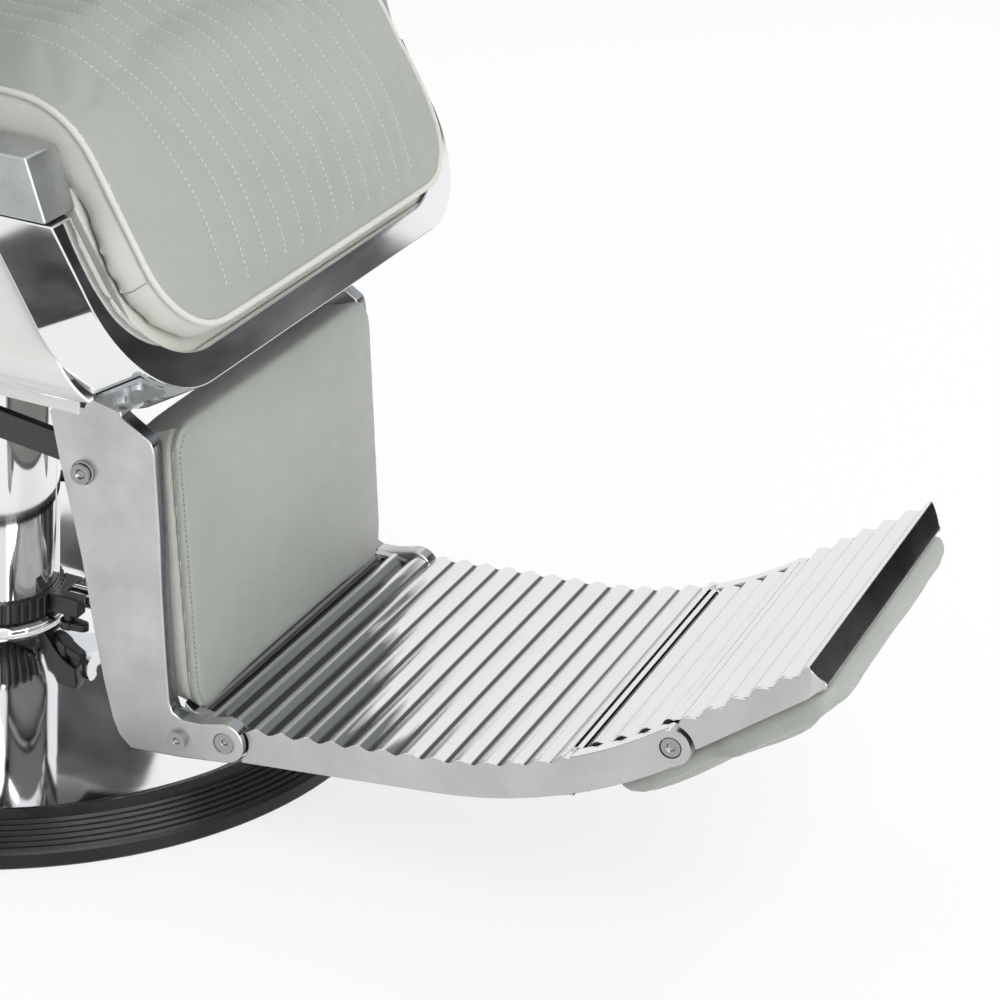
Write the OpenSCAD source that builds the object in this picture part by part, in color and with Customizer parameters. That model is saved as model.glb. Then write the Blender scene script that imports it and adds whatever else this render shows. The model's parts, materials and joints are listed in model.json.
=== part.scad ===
// Hydraulic barber chair with a coupled leg rest and a two-part ribbed footrest.
// Frame: Z up, the chair faces -Y, the column stands on the Z axis, floor at Z = 0.
// Side outlines are drawn in the (Y, Z) plane.

/* [Base] */
// Outer radius of the rubber floor ring
ring_r = 345; // [335:1:365]
// Height of the floor ring
ring_h = 30; // [28:1:34]
// Width of the floor ring's rubber
ring_w = 40; // [36:1:46]
// Thickness of the floor plate
plate_t = 6; // [4:0.5:8]
// Wall of the spun chrome cover
cover_t = 2.5; // [1.5:0.5:3]
// Height of the cover at its neck
neck_z = 46; // [44:1:50]
// Radius of the cover's neck opening
neck_r = 58; // [57:0.5:60]

/* [Column] */
// Outer radius of the pump barrel
barrel_r = 53; // [48:0.5:53]
// Wall of the pump barrel
barrel_t = 7; // [5:0.5:9]
// Height of the barrel's top edge
barrel_top = 343; // [335:1:344]
// Radius of the hydraulic ram
ram_r = 30; // [25:0.5:34]
// Number of flutes round the collar
flute_count = 48; // [36:4:60]
// Height of the fluted collar
collar_h = 18; // [14:1:22]
// Length of the pump lever from its pivot
lever_len = 330; // [280:5:360]

/* [Seat] */
// Half the width over the chrome seat rail
seat_hw = 281; // [275:1:290]
// Slope of the seat's front, from level
front_slope = 58.4; // [55:0.2:61]
// Depth of the rail's side band
rail_depth = 50; // [40:1:55]
// Thickness of the rail's metal
rail_t = 6; // [4:0.5:7]
// Width of the rail's front face along the sides
rail_face = 26; // [22:1:28]
// Radius of the rail's lower corners
rail_corner = 92; // [86:1:95]
// Height of the seat cushion's welt
seat_top = 594; // [586:1:606]
// Puff of the seat cushion above its welt
seat_crown = 13; // [8:1:18]
// Sewn lines in the seat cushion
seat_seams = 12; // [8:1:12]
// Distance between sewn lines
seam_pitch = 28.5; // [24:0.5:30]
// Depth of each sewn channel
seam_depth = 3; // [1:0.5:4]
// Wall of the enamelled seat shell
shell_t = 3; // [2:0.5:4]

/* [Arms] */
// Width of the arm's lower bar
bar_w = 41; // [36:1:43]
// Height of the arm's lower bar
bar_h = 45; // [38:1:48]
// Height of the arm's top plate
arm_top = 786; // [760:1:810]
// Thickness of the arm pad
arm_pad_t = 34; // [26:1:44]

/* [Backrest] */
// Lean of the backrest at rest
back_lean = 9; // [6:0.5:12]
// Half the width of the backrest shell
back_hw = 244; // [225:1:250]
// Length of the backrest shell
back_len = 470; // [430:5:500]
// Thickness of the backrest cushion
back_pad_t = 62; // [50:1:66]
// Width of the headrest
head_w = 280; // [240:5:320]
// Height of the headrest
head_h = 132; // [110:1:150]

/* [Leg rest] */
// Half the width over the side brackets
leg_hw = 180; // [176:1:190]
// Thickness of each cast bracket
bracket_t = 15; // [12:0.5:17]
// Thickness of the calf pad
calf_t = 38; // [32:1:42]
// Distance from a mechanism pivot to its link pin
crank_r = 52; // [46:1:56]
// Thickness of each link bar
link_t = 4.5; // [3:0.5:5]

/* [Footrest] */
// How far the footplate's side lies inside the bracket's outer face
foot_inset = 7; // [4:0.5:10]
// How far the toe plate's tip lies inside the footplate's side
toe_inset = 16; // [10:0.5:22]
// Height of the footplate's side wall
foot_wall = 29; // [26:0.5:31]
// Distance between ribs
rib_pitch = 20.8; // [18:0.1:24]
// Height of a rib from valley to crest
rib_h = 4.2; // [2:0.2:5]
// Thickness of the ribbed deck under its ribs
deck_t = 6; // [4.5:0.5:8]
// Radius of the footrest's upward curl
curl_r = 340; // [320:5:360]
// Slope of the footplate at its hinge
deck_slope = 6.3; // [5:0.1:7]
// Slope of the toe plate
toe_slope = 37; // [35:0.5:39]
// Thickness of the toe plate's tip
toe_tip_t = 19.7; // [17:0.1:22]
// Thickness of the pad under the toe plate
toe_pad_t = 23; // [18:0.5:26]

/* [Hidden] */
$fn = 72;
gap = 0.3;
eps = 0.5;

// Colours
steel = "#8d9094";
black = "#1c1d1f";
chrome = "#cfd4d8";
cast = "#b9bbbb";
enamel = "#f2f2ef";
vinyl = "#b4b9b2";

// Base
plate_r = ring_r - ring_w;
ring_in = plate_r + gap;
bolt_circle = 85;
rim_z = ring_h - 2.5;
dome = 5;
flare = 22;
washer_t = 5.7;
barrel_z0 = plate_t + washer_t + gap;
collar_z = neck_z + 12 + gap;
bearing_gap = 0.05;
socket_r = barrel_r + bearing_gap;
yoke_y = -84;
yoke_z = collar_z + 10.5;
yoke_h = 19;
yoke_x0 = -8;
yoke_x1 = 34;
lever_pin_r = 5;
lever_rise = 111;
lever_pin_x = yoke_x0 + 24;
lever_knee = [lever_pin_x + 72, yoke_z + 12];
lever_tip = [lever_pin_x + lever_len, yoke_z + lever_rise];
lock_x = yoke_x0 + 7;
lock_y = -72;

// Column
ram_top = 363;
hub_z = 352;

// Seat front plane: local X across, local Y up the slope, local Z outwards
front_y = -301.6;
front_z = 393;
function front_pt(up, out) = [
    front_y + up * cos(front_slope) - out * sin(front_slope),
    front_z + up * sin(front_slope) + out * cos(front_slope)
];
function up_at(z, out) = (z - front_z - out * cos(front_slope)) / sin(front_slope);
bar_z = 521;
bar_x0 = seat_hw - bar_w;
opening_up = 23;
opening_r = 80;
seat_back = 165;
shell_back = 275;
shell_top = bar_z - gap;
shell_low = 378;
shell_hw = seat_hw - 4;
board_t = 12;
board_z = bar_z + 11;
board_hw = bar_x0 - 2;
board_low = board_z - board_t;

// Frame and mechanism
plate_gap = 7;
plate_x1 = leg_hw - bracket_t - plate_gap;
plate_x0 = plate_x1 - 8;
foot_hw = leg_hw - foot_inset;
toe_hw = foot_hw - toe_inset;
floor_z = 365;
leg_pivot = [-190.2, 290.2];
back_pivot = [215, 450];
crank_angle = 17.6;
crank = [-crank_r * sin(crank_angle), crank_r * cos(crank_angle)];
pivot_r = 6;
strut_arm = 45;
strut_z = 407.5;
arm_x0 = plate_x1 + 8;
arm_x1 = arm_x0 + 8;
link_x0 = plate_x1 + 1.2;
link_pin_r = 4;
link_pivot = leg_pivot + crank;
strut_bar_r = 7;
strut_eye = [back_pivot[0] + strut_arm * sin(27.5), strut_z];
lever_at = [100, 478];
lever_rod_r = 6;
calf_out = 9;
foot_screw_r = 5;

// Backrest frame: local Z runs up the back, local Y points behind it
back_z0 = 170;
head_z = 735;
function to_back(v) = [
    v[0] * cos(back_lean) - v[1] * sin(back_lean), v[0] * sin(back_lean) + v[1] * cos(back_lean)
];
link_lug = to_back(crank);
strut_lug = to_back([strut_arm * sin(27.5), -strut_arm * cos(27.5)]);

// Footrest outline: arc length u runs forwards from the start of the curl
curl_start = [-480, 122.2];
curl_len = curl_r * (toe_slope - deck_slope) * PI / 180;
function slope_at(u) = deck_slope + min(max(u, 0), curl_len) / curl_r * 180 / PI;
function curl_pt(a) = [
    curl_start[0] - curl_r * (sin(a) - sin(deck_slope)),
    curl_start[1] + curl_r * (cos(deck_slope) - cos(a))
];
function deck_pt(u, out = 0) =
    let (a = slope_at(u), over = u < 0 ? u : max(u - curl_len, 0))
    curl_pt(a) + over * [-cos(a), sin(a)] + out * [sin(a), cos(a)];
groove_u = 117.2;
foot_u0 = -147.3;
tip_u = 317;
foot_pivot = [-314.3, 92.7];
toe_u = curl_len + 6.8;
toe_ear_r = 15;
toe_pivot = deck_pt(toe_u, -toe_ear_r);
ear_r = 16.5;
ear_in = foot_hw - 24.7;
toe_gap = 1;
rib_count = 15;
foot_screw = [-275.5, 85.4];
function rib(u) = rib_h / 2 * cos(360 * (u - groove_u) / rib_pitch + 180);
function ribbed(u0, u1, n) = [for (i = [0:n]) let (u = u0 + (u1 - u0) * i / n) deck_pt(u, rib(u))];
function smooth(u0, u1, n, out) = [for (i = [0:n]) deck_pt(u0 + (u1 - u0) * i / n, out)];

// ---------- helpers ----------

// Extrudes a (Y, Z) outline along X from x0 to x1
module span(x0, x1) translate([x0, 0, 0]) rotate([90, 0, 90]) linear_extrude(x1 - x0) children();

// Extrudes an (X, Z) outline along Y from y0 to y1
module span_y(y0, y1) translate([0, y1, 0]) rotate([90, 0, 0]) linear_extrude(y1 - y0) children();

// A round rod along X centred on a (Y, Z) point
module rod_x(at, x0, x1, r) translate([x0, at[0], at[1]]) rotate([0, 90, 0]) cylinder(r = r, h = x1 - x0);

// Both sides of the chair
module both() {
    children();
    mirror([1, 0, 0]) children();
}

// The seat's front plane
module on_front() translate([0, front_y, front_z]) rotate([front_slope, 0, 0]) children();

// A flat bar with round ends between two (Y, Z) points
module bar2d(a, b, w) {
    translate(a) circle(d = w);
    translate(b) circle(d = w);
    translate(a) rotate(atan2(b[1] - a[1], b[0] - a[0])) translate([0, -w / 2]) square([norm(b - a), w]);
}

// A rectangle with round corners, centred in X, standing on Y = 0
module rounded(w, h, r) {
    translate([-w / 2 + r, 0]) square([w - 2 * r, h]);
    translate([-w / 2, r]) square([w, h - 2 * r]);
    for (x = [-w / 2 + r, w / 2 - r], y = [r, h - r]) translate([x, y]) circle(r = r);
}

// A panel open at the top with round lower corners
module apron(hw, low, high, r) {
    translate([-hw, low + r]) square([2 * hw, high - low - r]);
    translate([-hw + r, low]) square([2 * (hw - r), r + 1]);
    for (x = [-hw + r, hw - r]) translate([x, low + r]) circle(r = r);
}

// Points of a rounded rectangle, centred, counter-clockwise
function ring_pts(w, h, r, n) = [
    for (q = [0:3], i = [0:n])
        let (a = 90 * q + 90 * i / n, sx = (q == 0 || q == 3) ? 1 : -1, sy = q < 2 ? 1 : -1)
        [sx * (w / 2 - r) + r * cos(a), sy * (h / 2 - r) + r * sin(a)]
];

// A stuffed pad: drawn-in sides, a welt edge and a crowned top, lying on Z = 0
module stuffed(w, h, t, crown, r, n = 6) {
    half = min(w, h) / 2;
    k = min(38, half * 0.85);
    levels = [
        [1.5, 0], [3, t * 0.45], [0, t],
        [k * 0.18, t + crown * 0.42], [k * 0.53, t + crown * 0.72], [k, t + crown * 0.92]
    ];
    layered([
        for (l = levels)
            let (ring = ring_pts(w - 2 * l[0], h - 2 * l[0], min(r, half - l[0] - 0.2), n))
            [for (p = ring) [p[0], p[1], l[1]]]
    ], [0, 0, 0], [0, 0, t + crown]);
}

// A solid built up from rings of points and closed by one point below and one above
module layered(rings, low, top) {
    m = len(rings[0]);
    last = len(rings) - 1;
    walls = [
        for (k = [0:last - 1], i = [0:m - 1])
            let (a = k * m + i, b = k * m + (i + 1) % m)
            each [[a, b + m, b], [a, a + m, b + m]]
    ];
    caps = [
        for (i = [0:m - 1]) each [
            [m * (last + 1), i, (i + 1) % m],
            [m * (last + 1) + 1, last * m + (i + 1) % m, last * m + i]
        ]
    ];
    polyhedron(concat([for (r = rings) each r], [low, top]), concat(walls, caps));
}

// A quilted cushion: each row is [welt (Y, Z), outward unit vector, base (Y, Z), half width, crown],
// with the half width of its base as well where that differs
seam_x = [for (i = [0:seat_seams - 1]) (i - (seat_seams - 1) / 2) * seam_pitch];
function quilt_cols(hw) =
    let (edge = seam_x[seat_seams - 1] + seam_pitch / 2, step = (hw - edge) / 4)
    concat(
        [for (i = [4:-1:0]) [-edge - step * i, 0]],
        [for (i = [0:seat_seams - 1]) each [[seam_x[i], 1], [seam_x[i] + seam_pitch / 2, 0]]],
        [for (i = [1:4]) [edge + step * i, 0]]
    );
function puff(x, hw) = 1 - pow(min(abs(x) / hw, 1), 5);
function quilt_row(row) =
    let (hw = row[3], base = len(row) > 5 ? row[5] : hw)
    let (tuck = (hw + base) / 2 - 3, mid = (row[0] + row[2]) / 2)
    concat(
        [[-base, row[2][0], row[2][1]], [-tuck, mid[0], mid[1]]],
        [
            for (c = quilt_cols(hw))
                let (up = row[4] * puff(c[0], hw) - c[1] * min(seam_depth, row[4] / 2))
                [c[0], row[0][0] + up * row[1][0], row[0][1] + up * row[1][1]]
        ],
        [[tuck, mid[0], mid[1]], [base, row[2][0], row[2][1]]]
    );
function corner_hw(hw, r, d) = d >= r ? hw : hw - r + sqrt(r * r - (r - d) * (r - d));
function swell(crown, d) = crown * sin(90 * min(d / 45, 1));
module quilted(rows) {
    m = len(quilt_row(rows[0]));
    n = len(rows);
    pts = [for (r = rows) each quilt_row(r)];
    ends = [
        for (k = [0, n - 1]) let (r = rows[k], c = (r[0] + r[2]) / 2) [0, c[0], c[1]]
    ];
    walls = [
        for (k = [0:n - 2], i = [0:m - 1])
            let (a = k * m + i, b = k * m + (i + 1) % m)
            each [[a, b, b + m], [a, b + m, a + m]]
    ];
    caps = [
        for (i = [0:m - 1]) each [
            [m * n, (i + 1) % m, i],
            [m * n + 1, (n - 1) * m + i, (n - 1) * m + (i + 1) % m]
        ]
    ];
    polyhedron(concat(pts, ends), concat(walls, caps));
}

// A socket cap screw along X, its head's outer face at x
module cap_screw(at, x, r, len, head_r, head_h) {
    difference() {
        union() {
            rod_x(at, x, x + head_h, head_r);
            rod_x(at, x + head_h - eps, x + head_h + len, r);
        }
        rod_x(at, x - 1, x + head_h * 0.6, r * 0.55, $fn = 6);
    }
}

// ---------- base ----------

module base_plate() color(steel) {
    difference() {
        cylinder(r = plate_r, h = plate_t, $fn = 120);
        for (a = [45:90:315]) rotate(a) translate([bolt_circle, 0, -1]) cylinder(r = 5, h = plate_t + 2);
    }
}

// Rubber ring with fine steps on its sloping top
module floor_ring() color(black) {
    steps = 6;
    shoulder = 15;
    land = 13;
    run = (ring_r - 2 - ring_in - land) / steps;
    rise = (ring_h - shoulder) / steps;
    rotate_extrude($fn = 120)
        polygon(concat(
            [[ring_in, 0], [ring_r - 1.5, 0], [ring_r, 2], [ring_r, shoulder - 2], [ring_r - 2, shoulder]],
            [
                for (i = [0:steps - 1]) each [
                    [ring_r - 2 - run * (i + 0.25), shoulder + rise * (i + 0.9)],
                    [ring_r - 2 - run * (i + 0.8), shoulder + rise * (i + 1.05)],
                    [ring_r - 2 - run * (i + 1), shoulder + rise * (i + 0.8)]
                ]
            ],
            [[ring_in + land, ring_h], [ring_in + 1, ring_h], [ring_in, ring_h - 1]]
        ));
}

// Spun cover: a shallow dome that flares up to the neck
function cover_z(r) =
    let (s = (r - neck_r) / (plate_r - neck_r))
    rim_z + dome * (1 - s * s) + (neck_z - rim_z - dome) * exp(-(r - neck_r) / flare);
module cover_solid(inset) {
    edge = plate_r - inset;
    n = 24;
    polygon(concat(
        [[neck_r, 0], [neck_r, neck_z - inset]],
        [for (i = [1:n]) let (r = neck_r + (plate_r - 6 - neck_r) * pow(i / n, 1.6)) [r, cover_z(r) - inset]],
        [[edge - 1.8, rim_z - inset - 1.5], [edge, rim_z - inset - 5], [edge, 0]]
    ));
}
module base_cover() color(chrome) {
    rotate_extrude($fn = 120)
        difference() {
            cover_solid(0);
            cover_solid(cover_t);
            square([plate_r * 3, plate_t * 2], center = true);
        }
}

// Torus at the foot of the column
module neck_ring() color(chrome) {
    rotate_extrude($fn = 96)
        difference() {
            union() {
                translate([barrel_r + 1.6, neck_z + 6]) circle(r = 6, $fn = 32);
                translate([barrel_r + 0.5, neck_z]) square([neck_r + 2 - barrel_r - 0.5, 6]);
            }
            translate([0, 0]) square([barrel_r + 0.5, neck_z + 20]);
        }
}

// Cast socket that the pump barrel turns in
module turn_socket() color(steel) {
    difference() {
        union() {
            translate([0, 0, plate_t]) cylinder(r = 104, h = 9);
            translate([0, 0, plate_t]) cylinder(r = 68, h = 28);
        }
        translate([0, 0, -1]) cylinder(r = socket_r, h = 60, $fn = 96);
        for (a = [45:90:315]) rotate(a) translate([bolt_circle, 0, -1]) cylinder(r = 5, h = 40);
    }
}

module socket_bolts() color(steel) {
    for (a = [45:90:315]) rotate(a) translate([bolt_circle, 0, 0]) {
        translate([0, 0, plate_t + 9]) cylinder(r = 9, h = 6, $fn = 6);
        translate([0, 0, 1]) cylinder(r = 5, h = plate_t + 9);
    }
}

module thrust_washer() color("#b08d57") {
    translate([0, 0, plate_t])
        difference() {
            cylinder(r = barrel_r - 1, h = washer_t);
            translate([0, 0, -1]) cylinder(r = 20, h = washer_t + 2);
        }
}

// ---------- pump, turns with the seat ----------

module pump_barrel() color(chrome) {
    difference() {
        translate([0, 0, barrel_z0]) cylinder(r = barrel_r, h = barrel_top - barrel_z0, $fn = 96);
        translate([0, 0, barrel_z0 + 8]) cylinder(r = barrel_r - barrel_t, h = barrel_top, $fn = 96);
    }
}

module fluted_collar() color(black) {
    outer = barrel_r + 4;
    translate([0, 0, collar_z])
        linear_extrude(collar_h)
            difference() {
                circle(r = outer, $fn = 96);
                circle(r = barrel_r, $fn = 96);
                for (i = [0:flute_count - 1]) rotate(360 * i / flute_count)
                    translate([outer + 0.6, 0]) circle(r = 1.9, $fn = 16);
            }
}

// Top gland that guides the ram
module ram_gland() color(steel) {
    difference() {
        union() {
            translate([0, 0, barrel_top - 30]) cylinder(r = barrel_r - barrel_t, h = 30);
            translate([0, 0, barrel_top]) cylinder(r = barrel_r - 1, h = 5);
        }
        translate([0, 0, barrel_top - 40]) cylinder(r = ram_r + bearing_gap, h = 60, $fn = 96);
        translate([0, 0, barrel_top + 1]) cylinder(r = ram_r + 4, h = 5);
    }
}

module wiper_seal() color(black) {
    translate([0, 0, barrel_top + 1])
        difference() {
            cylinder(r = ram_r + 4, h = 6);
            translate([0, 0, -1]) cylinder(r = ram_r + bearing_gap, h = 9, $fn = 96);
        }
}

// Pivot block of the pump lever, bolted to the front of the barrel
module lever_yoke() color(black) {
    difference() {
        translate([yoke_x0, yoke_y, yoke_z - yoke_h / 2 + 1]) cube([yoke_x1 - yoke_x0, -yoke_y, yoke_h - 2]);
        cylinder(r = barrel_r + 4, h = 200);
        translate([yoke_x0 + 14, yoke_y - 1, yoke_z - yoke_h]) cube([60, 20, yoke_h * 2]);
        translate([lever_pin_x, yoke_y, yoke_z]) rotate([-90, 0, 0]) cylinder(r = lever_pin_r, h = 25.5);
        translate([lock_x, lock_y, 50]) cylinder(r = 3 + bearing_gap, h = 19);
    }
}
module lever_pin() color(chrome) {
    translate([lever_pin_x, yoke_y + 25.5, yoke_z]) rotate([90, 0, 0]) cylinder(r = lever_pin_r, h = 24);
    translate([lever_pin_x, yoke_y + 2, yoke_z]) rotate([90, 0, 0]) cylinder(r = 9, h = 5);
}

// ---------- pump lever and swivel lock ----------

module lever_outline(w) {
    bar2d([lever_pin_x, yoke_z], lever_knee, w);
    bar2d(lever_knee, lever_tip, w);
}
module pump_lever() color(chrome) {
    difference() {
        span_y(yoke_y + 3, yoke_y + 18) {
            lever_outline(13);
            translate([lever_pin_x, yoke_z]) circle(r = 9);
        }
        translate([lever_pin_x, 0, yoke_z]) rotate([90, 0, 0]) cylinder(r = lever_pin_r + bearing_gap, h = 200);
    }
}

// Rubber sleeve on the end of the pump lever
module lever_pad() color(black) {
    dir = (lever_tip - lever_knee) / norm(lever_tip - lever_knee);
    difference() {
        span_y(yoke_y - 2, yoke_y + 23) bar2d(lever_tip - 48 * dir, lever_tip, 24);
        span_y(yoke_y + 3, yoke_y + 18) lever_outline(13);
    }
}

module swivel_lock() color(black) {
    translate([lock_x, lock_y, 47]) {
        cylinder(r = 8, h = 7);
        cylinder(r = 5, h = yoke_z - yoke_h / 2 + 1 - gap - 47);
        cylinder(r = 3, h = 21.5);
        linear_extrude(7) polygon([[-7, -4], [7, -4], [5, -16], [0, -19], [-5, -16]]);
    }
}

// ---------- seat, lifted by the ram ----------

module lift_ram() color(chrome) {
    translate([0, 0, barrel_z0 + 8 + gap]) {
        cylinder(r = barrel_r - barrel_t - bearing_gap, h = 20, $fn = 96);
        cylinder(r = ram_r, h = ram_top - barrel_z0 - 8 - gap, $fn = 96);
    }
}

module seat_hub() color(black) {
    difference() {
        union() {
            translate([0, 0, hub_z]) cylinder(r1 = 50, r2 = 58, h = 10);
            translate([0, 0, hub_z + 10]) cylinder(r = 72, h = floor_z - hub_z - 10);
        }
        translate([0, 0, hub_z - 1]) cylinder(r = ram_r, h = 40, $fn = 96);
    }
}

// Side plate: seat support, recline lug behind, hanger for the leg rest below
module frame_side() {
    polygon([
        [-150, board_low], [120, board_low], [150, 488], back_pivot + [-3, 16], back_pivot + [-9, -14],
        [160, 444], [130, 395], [100, floor_z], [-40, floor_z], [-150, 430]
    ]);
    polygon([
        leg_pivot + [-1.3, 10.9], [-99.8, 312.4], [-32, 325.5], [-14, 372],
        [30, 372], [-6, 307], [-96, 289.6], leg_pivot + [1.3, -10.9]
    ]);
    translate(back_pivot) circle(r = 18);
    translate(leg_pivot) circle(r = 12);
}
module seat_frame() color(black) {
    difference() {
        union() {
            both() {
                span(plate_x0, plate_x1) frame_side();
                for (y = [-135, 85]) {
                    translate([plate_x1 - eps, y, board_low - 16])
                        cube([shell_hw - shell_t - plate_x1 + eps, 30, 16]);
                    translate([bar_x0 + 2, y, board_low - eps])
                        cube([shell_hw - shell_t - bar_x0 - 2, 30, bar_z - board_low + eps]);
                }
            }
            translate([-plate_x0 - eps, -130, floor_z]) cube([2 * plate_x0 + 2 * eps, 280, 6]);
            translate([-16, -125, floor_z + 6 - eps]) cube([32, 20, strut_z + 18 - floor_z - 6 + eps]);
            translate([shell_hw - shell_t - 18, 85, 460]) cube([18, 30, board_low - 17 - 460 + 2]);
        }
        both() {
            rod_x(leg_pivot, plate_x0 - 1, plate_x1 + 1, pivot_r);
            rod_x(back_pivot, plate_x0 - 1, plate_x1 + 1, pivot_r);
        }
        rod_x(lever_at, shell_hw - 40, shell_hw, lever_rod_r + bearing_gap);
    }
}

// Enamelled shell round the seat frame, open above and below
module shell_form(d, open) {
    n = open - rail_depth;
    intersection() {
        span(-shell_hw + d, shell_hw - d) polygon([
            front_pt(up_at(shell_top + open, n), n), front_pt(up_at(390 + d, n), n),
            [-211, 384 + d], [-187, 381.5 + d], [-162, shell_low + d], [215, shell_low + d],
            [shell_back - d, 402 + d], [shell_back - d, 430 + open], [170, shell_top + open]
        ]);
        span_y(-400, 400) apron(shell_hw - d, shell_low + d, 600, 40 - d);
    }
}
module seat_shell() color(enamel) {
    difference() {
        union() {
            shell_form(0, 0);
            both() translate([shell_hw - 50, -215, shell_low - 17]) cube([3, 400, 19]);
        }
        shell_form(shell_t, 6);
        translate([-shell_hw + 50, -225, 300]) cube([2 * shell_hw - 100, 475, 100]);
        rod_x(lever_at, shell_hw - 10, shell_hw + 10, lever_rod_r + bearing_gap);
    }
}

// Chrome rail: a flat front face and a deep side band
module seat_rail() color(chrome) {
    difference() {
        on_front() {
            translate([0, 0, -rail_t])
                linear_extrude(rail_t)
                    difference() {
                        apron(seat_hw, 0, 190, rail_corner);
                        apron(seat_hw - rail_face, opening_up, 200, opening_r);
                    }
            translate([0, 0, -rail_depth])
                linear_extrude(rail_depth - rail_t + eps)
                    difference() {
                        apron(seat_hw, 0, 190, rail_corner);
                        apron(seat_hw - rail_t, rail_t, 200, rail_corner - rail_t);
                    }
        }
        translate([-400, -400, shell_top]) cube([800, 800, 200]);
    }
}

// Corner straps under the rail, each with a cap screw and a round spacer
module rail_lugs() color(steel) {
    both() on_front() translate([seat_hw - rail_corner, rail_corner, 0]) rotate(-50) {
        translate([rail_corner, -13, -rail_depth]) cube([3, 26, rail_depth - 6]);
        difference() {
            translate([rail_corner + 3 - eps, 0, -34]) rotate([0, 90, 0]) cylinder(r = 7, h = 7);
            translate([rail_corner + 6, 0, -34]) rotate([0, 90, 0]) cylinder(r = 3.5, h = 7, $fn = 6);
        }
        translate([rail_corner + 3 - eps, 7, -14]) rotate([0, 90, 0]) cylinder(r = 5.5, h = 5);
    }
}

// Bent board under the cushion
module seat_board() color("#b79b73") {
    span(-board_hw, board_hw) polygon([
        [seat_back, board_z - 0.03], front_pt(up_at(board_z, -6), -6.03), front_pt(24, -6.03), front_pt(24, -18),
        front_pt(up_at(board_low, -18), -18), [seat_back, board_low]
    ]);
}

// Quilted cushion that rolls over the front edge and runs down to the rail
module seat_cushion() color(vinyl) {
    roll = 75;
    front_out = 22.5;
    low = 35;
    corner = 62;
    base_low = 26;
    base_corner = 75;
    hw0 = bar_x0 - 5;
    hw1 = seat_hw - rail_face - 6;
    knee = [-162.5, seat_top - roll];
    nose = front_pt(up_at(board_z, -6), -6);
    n = [-sin(front_slope), cos(front_slope)];
    quilted(concat(
        [
            for (y = [165, 160, 148, 128, 80, 10, -60, -120])
                [[y, seat_top], [0, 1], [y, board_z], hw0, swell(seat_crown, seat_back - y), hw0 + 4]
        ],
        [
            for (i = [0:6])
                let (a = front_slope * i / 6, v = [-sin(a), cos(a)])
                [knee + roll * v, v, [knee[0] + (nose[0] - knee[0]) * i / 6, board_z], hw0, seat_crown, hw0 + 4]
        ],
        [
            for (u = [155, 146, 132, low + corner, 84, 72, 60, 50, 42, 37, low])
                let (b = base_low + (u - low) * (155 - base_low) / (155 - low))
                [
                    front_pt(u, front_out), n, front_pt(b, -6), corner_hw(hw0, corner, u - low),
                    swell(seat_crown, u - low), u > 140 ? hw0 + 4 : corner_hw(hw1, base_corner, b - base_low)
                ]
        ]
    ));
}

// ---------- arms ----------

module arm_frame() {
    span(bar_x0, seat_hw)
        polygon([[-218.5, bar_z], [-218.5 + bar_h * 0.367, bar_z + bar_h], [170, bar_z + bar_h], [170, bar_z]]);
    span(seat_hw - 34, seat_hw - 6)
        difference() {
            offset(r = 14)
                polygon([
                    [-121, bar_z + 20], [-128, arm_top - 62], [-152, arm_top - 26], [-146, arm_top - 14],
                    [128, arm_top - 14], [138, arm_top - 30], [130, bar_z + 20]
                ]);
            offset(r = 16)
                polygon([
                    [-70, bar_z + bar_h + 30], [-80, arm_top - 58], [-66, arm_top - 46],
                    [76, arm_top - 46], [86, arm_top - 58], [80, bar_z + bar_h + 30]
                ]);
        }
}
module arm_frame_left() color(chrome) arm_frame();
module arm_frame_right() color(chrome) mirror([1, 0, 0]) arm_frame();

module arm_pad() {
    translate([seat_hw - 20, -14, arm_top]) stuffed(75, 296, arm_pad_t - 9, 9, 24, 5);
}
module arm_pad_left() color(vinyl) arm_pad();
module arm_pad_right() color(vinyl) mirror([1, 0, 0]) arm_pad();

// ---------- recline strut and pivots ----------

strut_y0 = -105;
strut_y1 = 60;
module strut_cylinder() color(black) {
    difference() {
        union() {
            span_y(strut_y0, strut_y1) translate([0, strut_z]) circle(r = 13);
            span_y(strut_y1 - 6, strut_y1 + 6) translate([0, strut_z]) circle(r = 9);
        }
        span_y(strut_y0 + 10, strut_y1 + 10) translate([0, strut_z]) circle(r = 6 + bearing_gap);
    }
}
module strut_rod() color(chrome) {
    difference() {
        union() {
            span_y(-40, strut_eye[0] - 12) translate([0, strut_z]) circle(r = 6);
            rod_x(strut_eye, -8, 8, 15);
        }
        rod_x(strut_eye, -20, 20, strut_bar_r + 3);
    }
}

module recline_pins() color(steel) both() {
    rod_x(back_pivot, plate_x0 - 2, arm_x1 + 1, pivot_r);
    rod_x(back_pivot, arm_x1 + gap, arm_x1 + 6, 11);
}

module legrest_pivots() color(steel) both() {
    rod_x(leg_pivot, plate_x1, leg_hw - bracket_t - gap, 10);
    rod_x(leg_pivot, leg_hw + gap, leg_hw + 1.8, 9.5);
    difference() {
        union() {
            rod_x(leg_pivot, plate_x0 - 2, leg_hw + 3, pivot_r);
            rod_x(leg_pivot, leg_hw + 1.3, leg_hw + 6.3, 8);
        }
        rod_x(leg_pivot, leg_hw + 3.3, leg_hw + 12, 4, $fn = 6);
    }
}

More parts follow.
